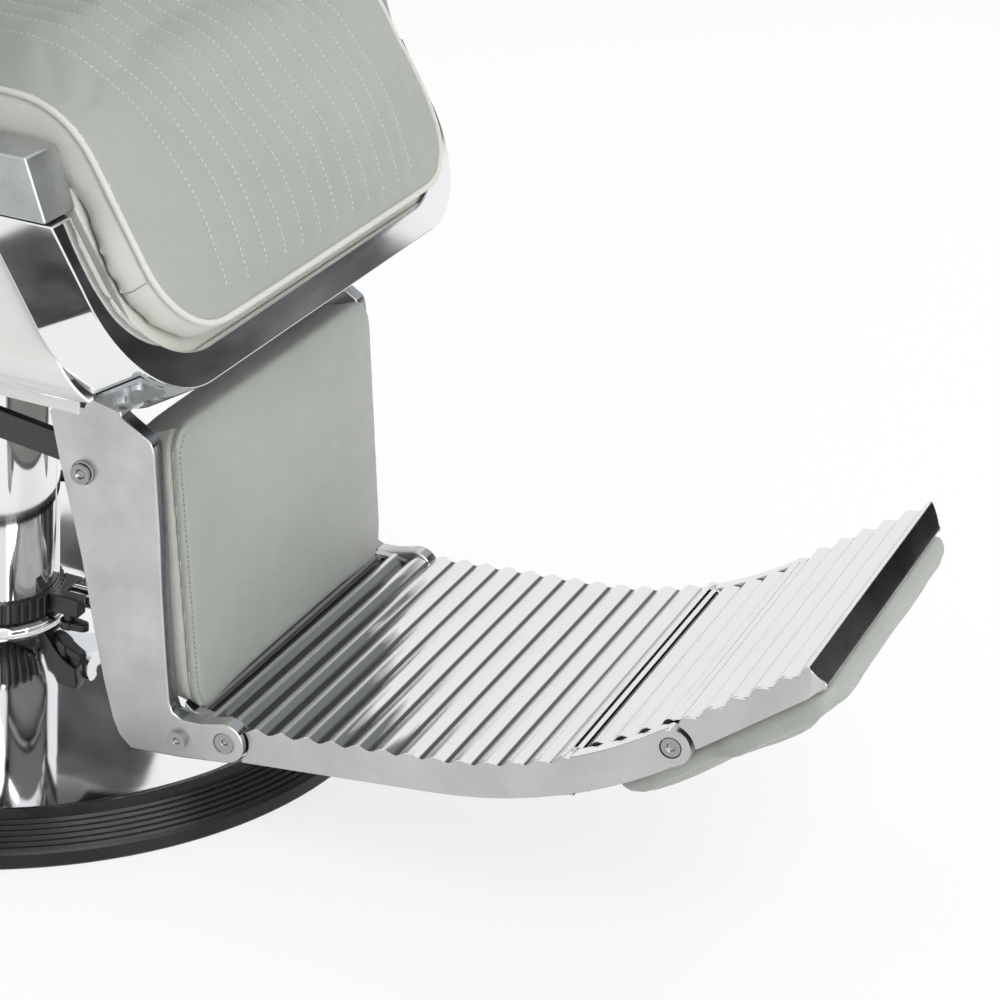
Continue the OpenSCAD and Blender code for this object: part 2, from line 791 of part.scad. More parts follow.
// Recline release on the sitter's left, returned by a spring
module recline_lever() color(chrome) {
    rod_x(lever_at, shell_hw - 30, seat_hw + 4, lever_rod_r);
    span(seat_hw + 2, seat_hw + 8) {
        bar2d(lever_at, [70, 585], 18);
        translate(lever_at) circle(r = 13);
    }
    translate([seat_hw + 9, 70, 585]) rotate([16, 0, 0]) cylinder(r = 6, h = 95);
    translate([seat_hw + 2, 60, 576]) cube([15, 18, 16]);
}
module recline_grip() color(black) {
    translate([seat_hw + 9, 70, 585]) rotate([16, 0, 0])
        difference() {
            translate([0, 0, 18]) union() {
                cylinder(r = 11.5, h = 84);
                translate([0, 0, 84]) sphere(r = 11.5, $fn = 32);
            }
            cylinder(r = 6, h = 95);
        }
}

// ---------- backrest, in its own leaning frame ----------

module on_back() translate([0, back_pivot[0], back_pivot[1]]) rotate([-back_lean, 0, 0]) children();
module back_plate(inset) translate([0, back_z0 + inset])
    rounded(2 * (back_hw - inset), back_len - 2 * inset, 60 - inset * 0.6);

module back_frame() color(black) on_back() {
    difference() {
        union() {
            both() span(arm_x0, arm_x1) {
                circle(r = 20);
                polygon([[-18, 0], [2, 105], [2, 430], [34, 430], [34, 105], [18, 0]]);
                bar2d([0, link_lug[1]], link_lug, 20);
                bar2d([0, 0], strut_lug, 22);
            }
            rod_x(strut_lug, -arm_x0 - eps, arm_x0 + eps, strut_bar_r);
            both() {
                rod_x(link_lug, link_x0 - 0.8, arm_x0 + eps, link_pin_r);
                rod_x(link_lug, link_x0 - 2.2, link_x0 - 0.4, link_pin_r + 3);
            }
            for (z = [210, 390]) translate([-arm_x0 - eps, 2, z]) cube([2 * arm_x0 + 2 * eps, 6, 34]);
        }
        both() rod_x([0, 0], arm_x0 - 1, arm_x1 + 1, pivot_r + bearing_gap);
    }
}

module back_board() color("#b79b73") on_back() span_y(-10, 2) back_plate(22);

module back_rail() color(chrome) on_back()
    span_y(-10, 2)
        difference() {
            back_plate(0);
            back_plate(22);
        }

module back_shell_form(d) {
    hull() {
        span_y(1, 2) back_plate(d + 1, $fn = 40);
        span_y(55 - d, 56 - d) back_plate(30 + d, $fn = 40);
    }
}
module back_shell() color(enamel) on_back() {
    difference() {
        back_shell_form(0);
        translate([0, -1, 0]) back_shell_form(shell_t);
        translate([-300, -10, 0]) cube([600, 12, 800]);
        translate([-arm_x1 - 6, -10, back_z0 - 20]) cube([2 * arm_x1 + 12, 52, 60]);
        translate([-31, 0, back_z0 + back_len - 30]) cube([62, 32, 60]);
    }
}

module back_cushion() color(vinyl) on_back() {
    top = back_z0 + back_len - 2;
    low = back_z0 + 2;
    hw = back_hw - 6;
    quilted([
        for (z = [top, top - 4, top - 14, top - 30, top - 55, top - 110, top - 230, low + 110, low + 55,
                  low + 30, low + 14, low + 4, low])
            let (d = min(top - z, z - low))
            [[-10 - back_pad_t, z], [-1, 0], [-10, z], corner_hw(hw, 56, d), swell(8, d)]
    ]);
}

// ---------- headrest ----------

stem_y = 20;
module headrest_socket() color(chrome) on_back() {
    difference() {
        translate([-30, 2, back_z0 + back_len - 80]) cube([60, 29, 88]);
        translate([-20 - bearing_gap, stem_y - 4 - bearing_gap, 400])
            cube([40 + 2 * bearing_gap, 8 + 2 * bearing_gap, 400]);
    }
}
module headrest_stem() color(chrome) on_back() {
    difference() {
        union() {
            translate([-20, stem_y - 4, head_z - 255]) cube([40, 8, 250]);
            rod_x([stem_y, head_z], -20, 20, 9);
        }
        rod_x([stem_y, head_z], -30, 30, 5 + bearing_gap);
    }
}
module headrest_plate() color(black) on_back() {
    translate([-head_w * 0.4, 0, head_z - 30]) cube([head_w * 0.8, 5, 90]);
    both() span(20 + gap, 28) bar2d([11.2, head_z], [stem_y, head_z], 22);
    rod_x([stem_y, head_z], -27, 27, 5);
}
module headrest_cushion() color(vinyl) on_back()
    translate([0, 0, head_z + 21]) rotate([90, 0, 0]) stuffed(head_w, head_h, 46, 14, 40, 8);

// ---------- leg rest ----------

module bracket() {
    x0 = leg_hw - bracket_t;
    difference() {
        union() {
            span(x0, leg_hw) {
                polygon([
                    [-160.5, 332.8], [-169.4, 293.2], [-179.1, 256.5], [-188.8, 217.2], [-199.2, 165],
                    [-208.4, 121.5], [-217.6, 87.5], [-223.7, 74.6], [-234.1, 65.7], [-250, 66.8],
                    [-279, 70.1], [-315, 75.9], [-314.3, 109.2], [-292.7, 103.9], [-278.4, 102.8],
                    [-269.7, 106.8], [-266.6, 114.6], [-262.9, 150.9], [-258.1, 206], [-255.1, 255.6],
                    [-252.3, 286], [-249.5, 316.8], [-248.3, 322.6], [-246, 327.3], [-220, 342.6],
                    [-176, 342.6], [-166, 341]
                ]);
                translate(foot_pivot) circle(r = ear_r);
                translate(link_pivot) circle(r = 16);
            }
            rod_x(link_pivot, link_x0 - 0.8, x0 + eps, link_pin_r);
            rod_x(link_pivot, link_x0 - 2.2, link_x0 - 0.4, link_pin_r + 3);
        }
        rod_x(leg_pivot, x0 - 1, leg_hw + 1, pivot_r + bearing_gap);
        rod_x(foot_pivot, x0 - 1, leg_hw + 1, foot_screw_r);
        rod_x(foot_pivot, leg_hw - 6, leg_hw + 1, 9);
        rod_x(foot_screw, x0 - 1, leg_hw + 1, foot_screw_r);
    }
}
module bracket_left() color(cast) bracket();
module bracket_right() color(cast) mirror([1, 0, 0]) bracket();

module bracket_tube() color(steel) rod_x([-204, 236], -leg_hw + bracket_t, leg_hw - bracket_t, 9);

// The calf pad's frame: local Y up the pad, local Z forwards
module on_calf() translate([0, -260.75, 222.5]) rotate([84, 0, 0]) children();
module calf_board() color("#b79b73") on_calf()
    translate([-leg_hw + bracket_t, -104, calf_out - calf_t - 8]) cube([2 * (leg_hw - bracket_t), 202, 8]);
module calf_pad() color(vinyl) on_calf()
    translate([0, 0, calf_out - calf_t]) stuffed(2 * (leg_hw - bracket_t - 1), 224, calf_t, 8, 22, 8);

module link_bar() {
    difference() {
        span(link_x0, link_x0 + link_t) {
            bar2d(link_pivot, back_pivot + crank, 16);
            translate(link_pivot) circle(r = 10);
            translate(back_pivot + crank) circle(r = 10);
        }
        rod_x(link_pivot, link_x0 - 1, link_x0 + 9, link_pin_r + bearing_gap);
        rod_x(back_pivot + crank, link_x0 - 1, link_x0 + 9, link_pin_r + gap);
    }
}
module link_left() color(steel) link_bar();
module link_right() color(steel) mirror([1, 0, 0]) link_bar();

// ---------- footplate ----------

function foot_w(y) = foot_hw + 0.0375 * (y + 333);
ear_face = foot_w(toe_pivot[0]);
module foot_plan(d) linear_extrude(400)
    polygon([
        [-foot_w(-250) + d, -250], [-foot_w(-720) + d, -720], [foot_w(-720) - d, -720], [foot_w(-250) - d, -250]
    ]);
module foot_deck() {
    u_back = groove_u - rib_count * rib_pitch;
    under = deck_t + rib_h / 2;
    span(-200, 200) polygon(concat(
        [[-272, 110], [-277, 105.2], [-283, 102.6]],
        ribbed(u_back, groove_u, rib_count * 8),
        smooth(groove_u, u_back, 16, -under),
        [[-272, 100]]
    ));
}
module footplate() color(cast) {
    inner = leg_hw - bracket_t;
    difference() {
        union() {
            intersection() {
                union() {
                    foot_deck();
                    difference() {
                        span(-200, 200) polygon(concat(
                            smooth(foot_u0 - 16, groove_u, 14, -rib_h / 2 - 1),
                            smooth(groove_u, foot_u0 - 16, 14, -foot_wall)
                        ));
                        translate([0, 0, -1]) foot_plan(8);
                    }
                    both() span(ear_in, 200) {
                        polygon(concat(
                            smooth(groove_u - 12, toe_u, 10, 0),
                            smooth(toe_u, groove_u - 12, 10, -foot_wall)
                        ));
                        translate(toe_pivot) circle(r = toe_ear_r);
                    }
                }
                foot_plan(0);
            }
            both() span(inner - 9, inner)
                polygon([[-272, 104], [-262, 84], [-268, 76], [-318, 79], [-340, 82], [-340, 102]]);
        }
        both() {
            rod_x(foot_pivot, inner, 220, ear_r + 1);
            translate([inner, -326, 0]) cube([60, 100, 300]);
            rod_x(foot_pivot, inner - 10, inner + 1, foot_screw_r);
            rod_x(foot_screw, inner - 10, inner + 1, foot_screw_r);
            rod_x(toe_pivot, ear_in - 1, 200, 5 + bearing_gap);
            rod_x(toe_pivot, ear_face - 6, 200, 8.5);
        }
    }
}

module footplate_screws() color(steel) mirror([1, 0, 0]) both() {
    cap_screw(foot_pivot, -leg_hw + 1, foot_screw_r, 16, 8, 5);
    cap_screw(foot_screw, -leg_hw - 4.5, foot_screw_r, 19.5, 8, 4.5);
}

// ---------- toe plate ----------

toe_in = ear_in - toe_gap;
toe_u0 = groove_u + 1.2;
toe_low = deck_pt(tip_u, -toe_tip_t);
toe_under = deck_pt(toe_u - 15.8, -25.7);
toe_run = norm(toe_low - toe_under);
toe_dir = (toe_low - toe_under) / toe_run;
module toe_plate() color(cast) {
    heel = deck_pt(toe_u, -24.5);
    difference() {
        union() {
            span(-toe_in, toe_in) polygon(concat(
                ribbed(toe_u0, tip_u, 80),
                [toe_low, toe_under - 50 * toe_dir, deck_pt(toe_u0, -deck_t - rib_h / 2)]
            ));
            intersection() {
                span(-200, 200) polygon(concat(ribbed(toe_u, tip_u, 64), [toe_low, heel]));
                linear_extrude(400)
                    translate([0, -768])
                        difference() {
                            scale([1, 0.8]) rounded(2 * toe_hw + 5, 300, 26);
                            both() translate([toe_hw, 0]) rotate(-1.9) square([20, 200]);
                        }
            }
        }
        both() {
            rod_x(toe_pivot, toe_in, 200, toe_ear_r + 3);
            rod_x(toe_pivot, toe_in - 30, 200, 5);
        }
    }
}

// One ring of the pad under the toe plate: local Y runs up the slope, Z away from the plate
function quarter(c, r, a) = [for (i = [0:6]) c + r * [cos(a + 15 * i), sin(a + 15 * i)]];
function toe_ring(d, z) =
    let (wide = toe_hw - 3 - d, slim = toe_in - 2 - d, r = 26, y0 = d - 60, y1 = toe_run + 4.4 - d)
    [
        for (p = concat(
            quarter([wide - r, y1 - r], r, 0), quarter([r - wide, y1 - r], r, 90), [[-wide, 50], [-slim, 36]],
            quarter([r - slim, y0 + r], r, 180), quarter([slim - r, y0 + r], r, 270), [[slim, 36], [wide, 50]]
        )) [p[0], p[1], z]
    ];
module toe_pad() color(vinyl)
    translate([0, toe_under[0], toe_under[1]]) rotate([180 - atan2(toe_dir[1], -toe_dir[0]), 0, 0])
        layered([
            for (l = [[0, 0], [-2, 0.28], [-2, 0.52], [1.5, 0.78], [8, 1], [18, 1.11], [40, 1.2]])
                toe_ring(l[0], l[1] * toe_pad_t)
        ], [0, 40, 0], [0, 40, toe_pad_t * 1.26]);

module toe_pivots() color(steel) both() {
    rod_x(toe_pivot, toe_in - 30, ear_face - 3, 5);
    difference() {
        rod_x(toe_pivot, ear_face - 6 + gap, ear_face - 0.5, 7.5);
        rod_x(toe_pivot, ear_face - 3, ear_face + 2, 3.6, $fn = 6);
    }
}

base_plate();
floor_ring();
base_cover();
neck_ring();
turn_socket();
socket_bolts();
thrust_washer();
pump_barrel();
fluted_collar();
ram_gland();
wiper_seal();
lever_yoke();
lever_pin();
pump_lever();
lever_pad();
swivel_lock();
lift_ram();
seat_hub();
seat_frame();
seat_shell();
seat_rail();
rail_lugs();
seat_board();
seat_cushion();
arm_frame_right();
arm_frame_left();
arm_pad_right();
arm_pad_left();
strut_cylinder();
strut_rod();
recline_pins();
legrest_pivots();
recline_lever();
recline_grip();
back_frame();
back_board();
back_shell();
back_rail();
back_cushion();
headrest_socket();
headrest_stem();
headrest_plate();
headrest_cushion();
bracket_right();
bracket_left();
bracket_tube();
calf_board();
calf_pad();
footplate();
footplate_screws();
link_right();
link_left();
toe_plate();
toe_pad();
toe_pivots();
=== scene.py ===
"""Looks of the hydraulic barber chair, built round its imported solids."""
import json
import math

import bmesh
import bpy
import numpy as np
from mathutils import Matrix, Vector
from mathutils.bvhtree import BVHTree


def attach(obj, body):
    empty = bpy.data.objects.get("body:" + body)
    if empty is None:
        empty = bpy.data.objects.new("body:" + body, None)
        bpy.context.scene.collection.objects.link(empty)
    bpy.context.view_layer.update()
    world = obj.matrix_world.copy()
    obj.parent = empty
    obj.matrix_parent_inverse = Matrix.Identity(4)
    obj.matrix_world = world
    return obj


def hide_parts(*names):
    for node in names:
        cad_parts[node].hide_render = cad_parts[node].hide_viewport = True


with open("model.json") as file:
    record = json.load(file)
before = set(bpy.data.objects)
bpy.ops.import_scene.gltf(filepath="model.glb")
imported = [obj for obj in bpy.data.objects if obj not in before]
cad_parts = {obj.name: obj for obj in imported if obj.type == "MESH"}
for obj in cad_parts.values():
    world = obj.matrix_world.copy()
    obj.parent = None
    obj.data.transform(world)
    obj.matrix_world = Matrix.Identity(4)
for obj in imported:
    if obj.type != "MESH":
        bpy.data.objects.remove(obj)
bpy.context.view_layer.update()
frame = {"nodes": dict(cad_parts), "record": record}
MM = 0.001
BODY_OF = {n: b for b, nodes in frame["record"]["behaviour"]["bodies"].items() for n in nodes}
SLOT_OF = {p["node"]: p["material_slot"] for p in frame["record"]["subparts"]}

# ---------------------------------------------------------------- finishes


class Finish:
    """A node material: a shader with helpers for pattern, bump and colour."""

    def __init__(self, name, color, rough, metal=0.0, **sockets):
        self.mat = bpy.data.materials.new(name)
        self.mat.use_nodes = True
        self.tree = self.mat.node_tree
        self.shader = self.tree.nodes["Principled BSDF"]
        self.set("Base Color", (*color, 1))
        self.set("Roughness", rough)
        self.set("Metallic", metal)
        for socket, value in sockets.items():
            self.set(socket.replace("_", " "), value)
        self.place = self.add("ShaderNodeTexCoord").outputs["Object"]

    def set(self, socket, value):
        self.shader.inputs[socket].default_value = value

    def add(self, kind, **fields):
        node = self.tree.nodes.new(kind)
        for field, value in fields.items():
            setattr(node, field, value)
        return node

    def join(self, out, into):
        self.tree.links.new(out, into)

    def mapped(self, scale=(1, 1, 1), turn=(0, 0, 0)):
        node = self.add("ShaderNodeMapping")
        node.inputs["Scale"].default_value = scale
        node.inputs["Rotation"].default_value = turn
        self.join(self.place, node.inputs["Vector"])
        return node.outputs["Vector"]

    def noise(self, scale, detail=4, rough=0.55, stretch=(1, 1, 1), turn=(0, 0, 0)):
        node = self.add("ShaderNodeTexNoise")
        node.inputs["Scale"].default_value = scale
        node.inputs["Detail"].default_value = detail
        node.inputs["Roughness"].default_value = rough
        self.join(self.mapped(stretch, turn), node.inputs["Vector"])
        return node.outputs["Fac"]

    def cells(self, scale, feature="F1", stretch=(1, 1, 1)):
        node = self.add("ShaderNodeTexVoronoi", feature=feature)
        node.inputs["Scale"].default_value = scale
        self.join(self.mapped(stretch), node.inputs["Vector"])
        return node.outputs["Distance"]

    def ramp(self, fac, low, high, at=(0.3, 0.7)):
        node = self.add("ShaderNodeMapRange")
        node.inputs["From Min"].default_value = at[0]
        node.inputs["From Max"].default_value = at[1]
        node.inputs["To Min"].default_value = low
        node.inputs["To Max"].default_value = high
        self.join(fac, node.inputs["Value"])
        return node.outputs["Result"]

    def tint(self, fac, a, b):
        node = self.add("ShaderNodeMix", data_type="RGBA")
        node.inputs[6].default_value = (*a, 1)
        node.inputs[7].default_value = (*b, 1)
        self.join(fac, node.inputs[0])
        self.join(node.outputs[2], self.shader.inputs["Base Color"])

    def rough(self, value):
        self.join(value, self.shader.inputs["Roughness"])

    def bump(self, height, depth, strength=1.0, under=None):
        node = self.add("ShaderNodeBump")
        node.inputs["Distance"].default_value = depth
        node.inputs["Strength"].default_value = strength
        self.join(height, node.inputs["Height"])
        if under:
            self.join(under, node.inputs["Normal"])
        self.join(node.outputs["Normal"], self.shader.inputs["Normal"])
        return node.outputs["Normal"]


def vinyl(name, pale, shade):
    """Soft grained upholstery vinyl."""
    f = Finish(name, pale, 0.5, Sheen_Weight=0.06)
    f.tint(f.ramp(f.noise(9, 5), 0, 1, (0.35, 0.68)), pale, shade)
    f.rough(f.ramp(f.noise(60, 3), 0.44, 0.58))
    wave = f.bump(f.noise(70, 3), 0.0006, 0.35)
    grain = f.bump(f.cells(780), 0.00035, 0.55, wave)
    f.bump(f.noise(1500, 2), 0.00012, 0.4, grain)
    return f.mat


def polished(name, color, rough, smear=0.02, grit=0.0):
    """Plated or buffed metal with faint smears."""
    f = Finish(name, color, rough, 1.0)
    f.rough(f.ramp(f.noise(14, 5, 0.6), max(rough - smear, 0.01), rough + smear))
    if grit:
        f.bump(f.noise(900, 2), 0.0001, grit)
    return f.mat


def brushed(name, color, rough, stretch, scratch=0.5, cloudy=0.08):
    """Linished metal: fine drag lines and a cloudy cast skin."""
    f = Finish(name, color, rough, 1.0)
    pale = tuple(min(c * (1 + cloudy), 1) for c in color)
    cloud_and_painted_shade = tuple(c * (1 - cloudy) for c in color)
    f.tint(f.ramp(f.noise(16, 6, 0.6), 0, 1, (0.35, 0.65)), cloud_and_painted_shade, pale)
    f.rough(f.ramp(f.noise(22, 5), rough - 0.07, rough + 0.07))
    lines = f.bump(f.noise(120, 4, 0.65, stretch), 0.0004, scratch)
    f.bump(f.noise(600, 2), 0.00015, 0.3, lines)
    return f.mat


DUSK_END = 0.375  # how far forward the painted shade and reflection at the calf-pad end of the ribs reaches, in metres
DUSK_SLANT = 0.42  # how much nearer it ends on the sitter's left


def ribbed_face(name, crest, valley, dusk):
    """Buffed ribs: dark valleys, bright crests, and painted shade and reflection darkening the end by the
    calf pad, where the crests keep a painted highlight.
    """
    f = Finish(name, crest, 0.2, 1.0)

    def mark(kind):
        return f.add("ShaderNodeAttribute", attribute_name=kind).outputs["Fac"]

    def maths(operation, a, b):
        node = f.add("ShaderNodeMath", operation=operation)
        for value, into in zip((a, b), node.inputs):
            if isinstance(value, (int, float)):
                into.default_value = value
            else:
                f.join(value, into)
        return node.outputs[0]

    def blend(fac, under, over):
        mix = f.add("ShaderNodeMix", data_type="RGBA")
        mix.inputs[6].default_value = (*crest, 1)
        if under:
            f.join(under, mix.inputs[6])
        mix.inputs[7].default_value = (*over, 1)
        f.join(fac, mix.inputs[0])
        return mix.outputs[2]

    parts = f.add("ShaderNodeSeparateXYZ")
    f.join(f.place, parts.inputs[0])
    # Painted shade and reflection: the ribs darken towards the calf pad behind a fingered edge, and the
    # marked crests stay bright as painted highlights.
    ahead = maths("SUBTRACT", maths("MULTIPLY", parts.outputs[1], -1), DUSK_END)
    edge = maths("ADD", ahead, maths("MULTIPLY", parts.outputs[0], DUSK_SLANT))
    fingers = f.ramp(f.noise(70, 2, 0.5, (0.12, 1, 1)), -0.035, 0.035)
    far = f.ramp(maths("ADD", edge, fingers), 1, 0, (-0.02, 0.012))
    cloud_and_painted_shade = maths("MULTIPLY", far, f.ramp(mark("crest"), 0.94, 0.1, (0.45, 0.8)))
    color = blend(maths("MULTIPLY", cloud_and_painted_shade, mark("deck")), None, dusk)
    color = blend(f.ramp(mark("valley"), 0, 1, (0.32, 0.6)), color, valley)
    f.join(color, f.shader.inputs["Base Color"])
    f.rough(f.ramp(f.noise(20, 5, 0.6), 0.13, 0.25))
    f.bump(f.noise(160, 3, 0.6, (1, 6, 6)), 0.0002, 0.3)
    return f.mat


def paint(name, color, rough, peel=0.25, coat=0.5):
    """Sprayed paint with a slight orange peel."""
    f = Finish(name, color, rough, Coat_Weight=coat, Coat_Roughness=rough * 0.4)
    dark = tuple(c * 0.9 for c in color)
    f.tint(f.ramp(f.noise(6, 4), 0, 1), color, dark)
    f.rough(f.ramp(f.noise(40, 4), rough * 0.85, rough * 1.2))
    f.bump(f.noise(260, 2), 0.0002, peel)
    return f.mat


def rubber():
    f = Finish("floor_rubber", (0.012, 0.012, 0.014), 0.42, Specular_IOR_Level=0.22)
    f.tint(f.ramp(f.noise(12, 5), 0, 1, (0.4, 0.75)), (0.010, 0.010, 0.012), (0.024, 0.024, 0.027))
    f.rough(f.ramp(f.noise(30, 4), 0.22, 0.38))
    f.bump(f.noise(700, 3), 0.0002, 0.25)
    return f.mat


def dust_cloth():
    """Black woven cloth stapled under the boards."""
    f = Finish("dust_cloth", (0.02, 0.02, 0.022), 0.85, Sheen_Weight=0.15)
    f.bump(f.noise(1400, 2, 0.5, (1, 0.15, 1)), 0.0003, 0.6)
    return f.mat


def thread(name, color):
    f = Finish(name, color, 0.6, Sheen_Weight=0.2)
    f.bump(f.noise(2400, 2), 0.0002, 0.6)
    return f.mat


VINYL = vinyl("vinyl_panel", (0.312, 0.328, 0.303), (0.288, 0.304, 0.281))
VINYL_SIDE = vinyl("vinyl_boxing", (0.560, 0.555, 0.515), (0.530, 0.527, 0.488))
THREAD_PALE = thread("thread_pale", (0.62, 0.64, 0.61))
THREAD_DARK = thread("thread_dark", (0.12, 0.125, 0.12))
CHROME = polished("chrome_plate", (0.86, 0.87, 0.88), 0.05)
STEEL = brushed("plain_steel", (0.56, 0.57, 0.59), 0.32, (1, 1, 12))
# Painted reflection: the screw heads' colour is darkened to stand in for the dark reflections seen in
# their chrome.
SCREW = polished("screw_steel", (0.34, 0.345, 0.35), 0.12, 0.04, 0.15)
CAST = brushed("cast_alloy", (0.52, 0.52, 0.515), 0.34, (1, 12, 2))
SATIN = brushed("satin_plate", (0.50, 0.525, 0.53), 0.30, (1, 3, 10), 0.35, 0.16)
BRACKET = brushed("brushed_bracket", (0.57, 0.57, 0.57), 0.34, (1, 16, 1), 0.3, 0.12)
# Painted shade: a darker colour for the brackets' front-facing edge faces.
EDGE = polished("bracket_edge", (0.30, 0.32, 0.34), 0.2, 0.04)
GROOVE = polished("groove_shade", (0.05, 0.05, 0.055), 0.3, 0.05)
# Painted shade: a near-black colour for the flat deck behind the ribs, under the calf pad.
PAINTED_DECK_SHADE = polished("deck_painted_shade", (0.07, 0.075, 0.08), 0.14, 0.05)
RIBS = ribbed_face("rib_polish", (0.80, 0.80, 0.81), (0.07, 0.07, 0.075), (0.11, 0.12, 0.12))
# Painted reflection: the tip face is coloured much darker than the ribs' metal, to stand in for the dark
# mirror it shows.
TIP = polished("tip_polish", (0.34, 0.33, 0.33), 0.1, 0.03)
ENAMEL = paint("white_enamel", (0.83, 0.83, 0.81), 0.16, 0.12, 0.6)
BLACK = paint("black_paint", (0.018, 0.018, 0.02), 0.34)
RUBBER = rubber()
BRASS = brushed("washer_brass", (0.62, 0.46, 0.22), 0.35, (1, 1, 8))
CLOTH = dust_cloth()

SLOT_LOOKS = {
    "plate_steel": STEEL, "ring_rubber": RUBBER, "chrome": CHROME, "washer_brass": BRASS,
    "black_paint": BLACK, "white_enamel": ENAMEL, "board_ply": CLOTH, "vinyl": VINYL,
    "bolt_steel": SCREW, "cast_alloy": CAST,
}
NODE_LOOKS = {
    "calf_board": VINYL_SIDE, "bracket_left": BRACKET, "bracket_right": BRACKET,
    "arm_frame_left": SATIN, "arm_frame_right": SATIN, "rail_lugs": SATIN,
}


def look_of(node):
    return NODE_LOOKS.get(node, SLOT_LOOKS[SLOT_OF[node]])


for node, solid in frame["nodes"].items():
    for s in solid.material_slots:
        s.material = look_of(node)

# ---------------------------------------------------------------- bench tools


def only(piece):
    """Selects one piece and nothing else."""
    bpy.ops.object.select_all(action="DESELECT")
    piece.select_set(True)
    bpy.context.view_layer.objects.active = piece


def apply_mods(piece):
    only(piece)
    for mod in list(piece.modifiers):
        bpy.ops.object.modifier_apply(modifier=mod.name)


def fit(piece, nodes, body=None):
    """Ties a piece to the body of the first solid that it stands for or sits on."""
    first = nodes[0]
    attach(piece, body or BODY_OF[first])
    return piece


def points_of(mesh):
    flat = np.empty(len(mesh.vertices) * 3)
    mesh.vertices.foreach_get("co", flat)
    return flat.reshape(-1, 3)


def move_points(mesh, points):
    mesh.vertices.foreach_set("co", np.asarray(points).ravel())
    mesh.update()


def normals_of(mesh):
    flat = np.empty(len(mesh.vertices) * 3)
    mesh.vertex_normals.foreach_get("vector", flat)
    return flat.reshape(-1, 3)


def piece_from(name, verts, faces, mat):
    mesh = bpy.data.meshes.new(name)
    mesh.from_pydata([tuple(v) for v in verts], [], [tuple(f) for f in faces])
    mesh.update()
    piece = bpy.data.objects.new(name, mesh)
    bpy.context.scene.collection.objects.link(piece)
    mesh.materials.append(mat)
    return piece


def merged_copy(node, name):
    """A copy of a solid with its loose triangles merged into one skin."""
    piece = frame["nodes"][node].copy()
    piece.data = piece.data.copy()
    piece.name = name
    bpy.context.scene.collection.objects.link(piece)
    piece.parent = None
    bm = bmesh.new()
    bm.from_mesh(piece.data)
    bmesh.ops.remove_doubles(bm, verts=bm.verts, dist=2e-6)
    bm.to_mesh(piece.data)
    bm.free()
    return piece


def even_shading(piece, angle):
    """Smooth shading over curves, with large flat faces kept flat."""
    only(piece)
    bpy.ops.object.shade_smooth_by_angle(angle=math.radians(angle))
    mod = piece.modifiers.new("even", "WEIGHTED_NORMAL")
    mod.keep_sharp = True
    apply_mods(piece)


def softened(node, width, steps=2, angle=32, short=0.0014):
    """A solid with its long sharp edges rounded over and its curves shaded smooth."""
    piece = merged_copy(node, node + "_finished")
    bm = bmesh.new()
    bm.from_mesh(piece.data)
    bmesh.ops.dissolve_limit(bm, angle_limit=math.radians(0.5), verts=bm.verts, edges=bm.edges)
    if width:
        sharp = [
            e for e in bm.edges
            if len(e.link_faces) == 2 and e.calc_length() > short
            and e.calc_face_angle() > math.radians(angle)
        ]
        bmesh.ops.bevel(
            bm, geom=sharp, offset=width * MM, segments=steps, profile=0.5,
            affect="EDGES", clamp_overlap=False, offset_type="OFFSET",
        )
    bm.to_mesh(piece.data)
    bm.free()
    even_shading(piece, angle)
    fit(piece, [node])
    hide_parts(node)
    return piece


# ---------------------------------------------------------------- metal, paint and rubber

# Width of the rounded edge on each solid, in millimetres
EDGES = {
    "base_plate": 0.8, "floor_ring": 0.5, "base_cover": 0.6, "neck_ring": 0, "turn_socket": 1.5,
    "socket_bolts": 0.8, "thrust_washer": 0.5, "pump_barrel": 1.0, "fluted_collar": 0.5,
    "ram_gland": 0.8, "wiper_seal": 1.0, "lever_yoke": 1.6, "lever_pin": 0.8, "pump_lever": 2.5,
    "lever_pad": 4, "swivel_lock": 1.2, "lift_ram": 0, "seat_hub": 1.5, "seat_frame": 1.0,
    "seat_shell": 1.0, "seat_rail": 1.2, "seat_board": 2, "arm_frame_right": 2.2,
    "arm_frame_left": 2.2, "strut_cylinder": 1, "strut_rod": 0.8, "recline_pins": 0.8,
    "legrest_pivots": 1.6, "recline_lever": 1.2, "recline_grip": 1.5, "back_frame": 1.2,
    "back_board": 2, "back_shell": 2, "back_rail": 1.5, "headrest_socket": 1.5,
    "headrest_stem": 0.8, "headrest_plate": 1.0, "bracket_right": 1.4, "bracket_left": 1.4,
    "bracket_tube": 0.6, "calf_board": 2, "footplate": 1.2, "footplate_screws": 1.2,
    "link_right": 0.8, "link_left": 0.8, "toe_plate": 1.2, "toe_pivots": 1.0,
}
finished = {
    node: softened(node, width, angle=52 if node.startswith("bracket_") else 32)
    for node, width in EDGES.items()
}

# ---------------------------------------------------------------- footrest castings

# The deck in its (Y, Z) plane: a flat back, a curl and a flat toe, in millimetres and degrees
CURL_R = 340
BACK_SLOPE = 6.3
TOE_SLOPE = 37.0
CURL_START = (-480.0, 122.2)
CURL_C = np.array((
    CURL_START[0] + CURL_R * math.sin(math.radians(BACK_SLOPE)),
    CURL_START[1] + CURL_R * math.cos(math.radians(BACK_SLOPE)),
))
CURL_LEN = CURL_R * math.radians(TOE_SLOPE - BACK_SLOPE)
JOINT = 117.2  # from the start of the curl to the toe plate's joint
RIB_PITCH = 20.8
RIB_H = 4.2
GROOVE_DEPTH = 3.2
GROOVE_REACH = 147  # half the length of the joint's grooves


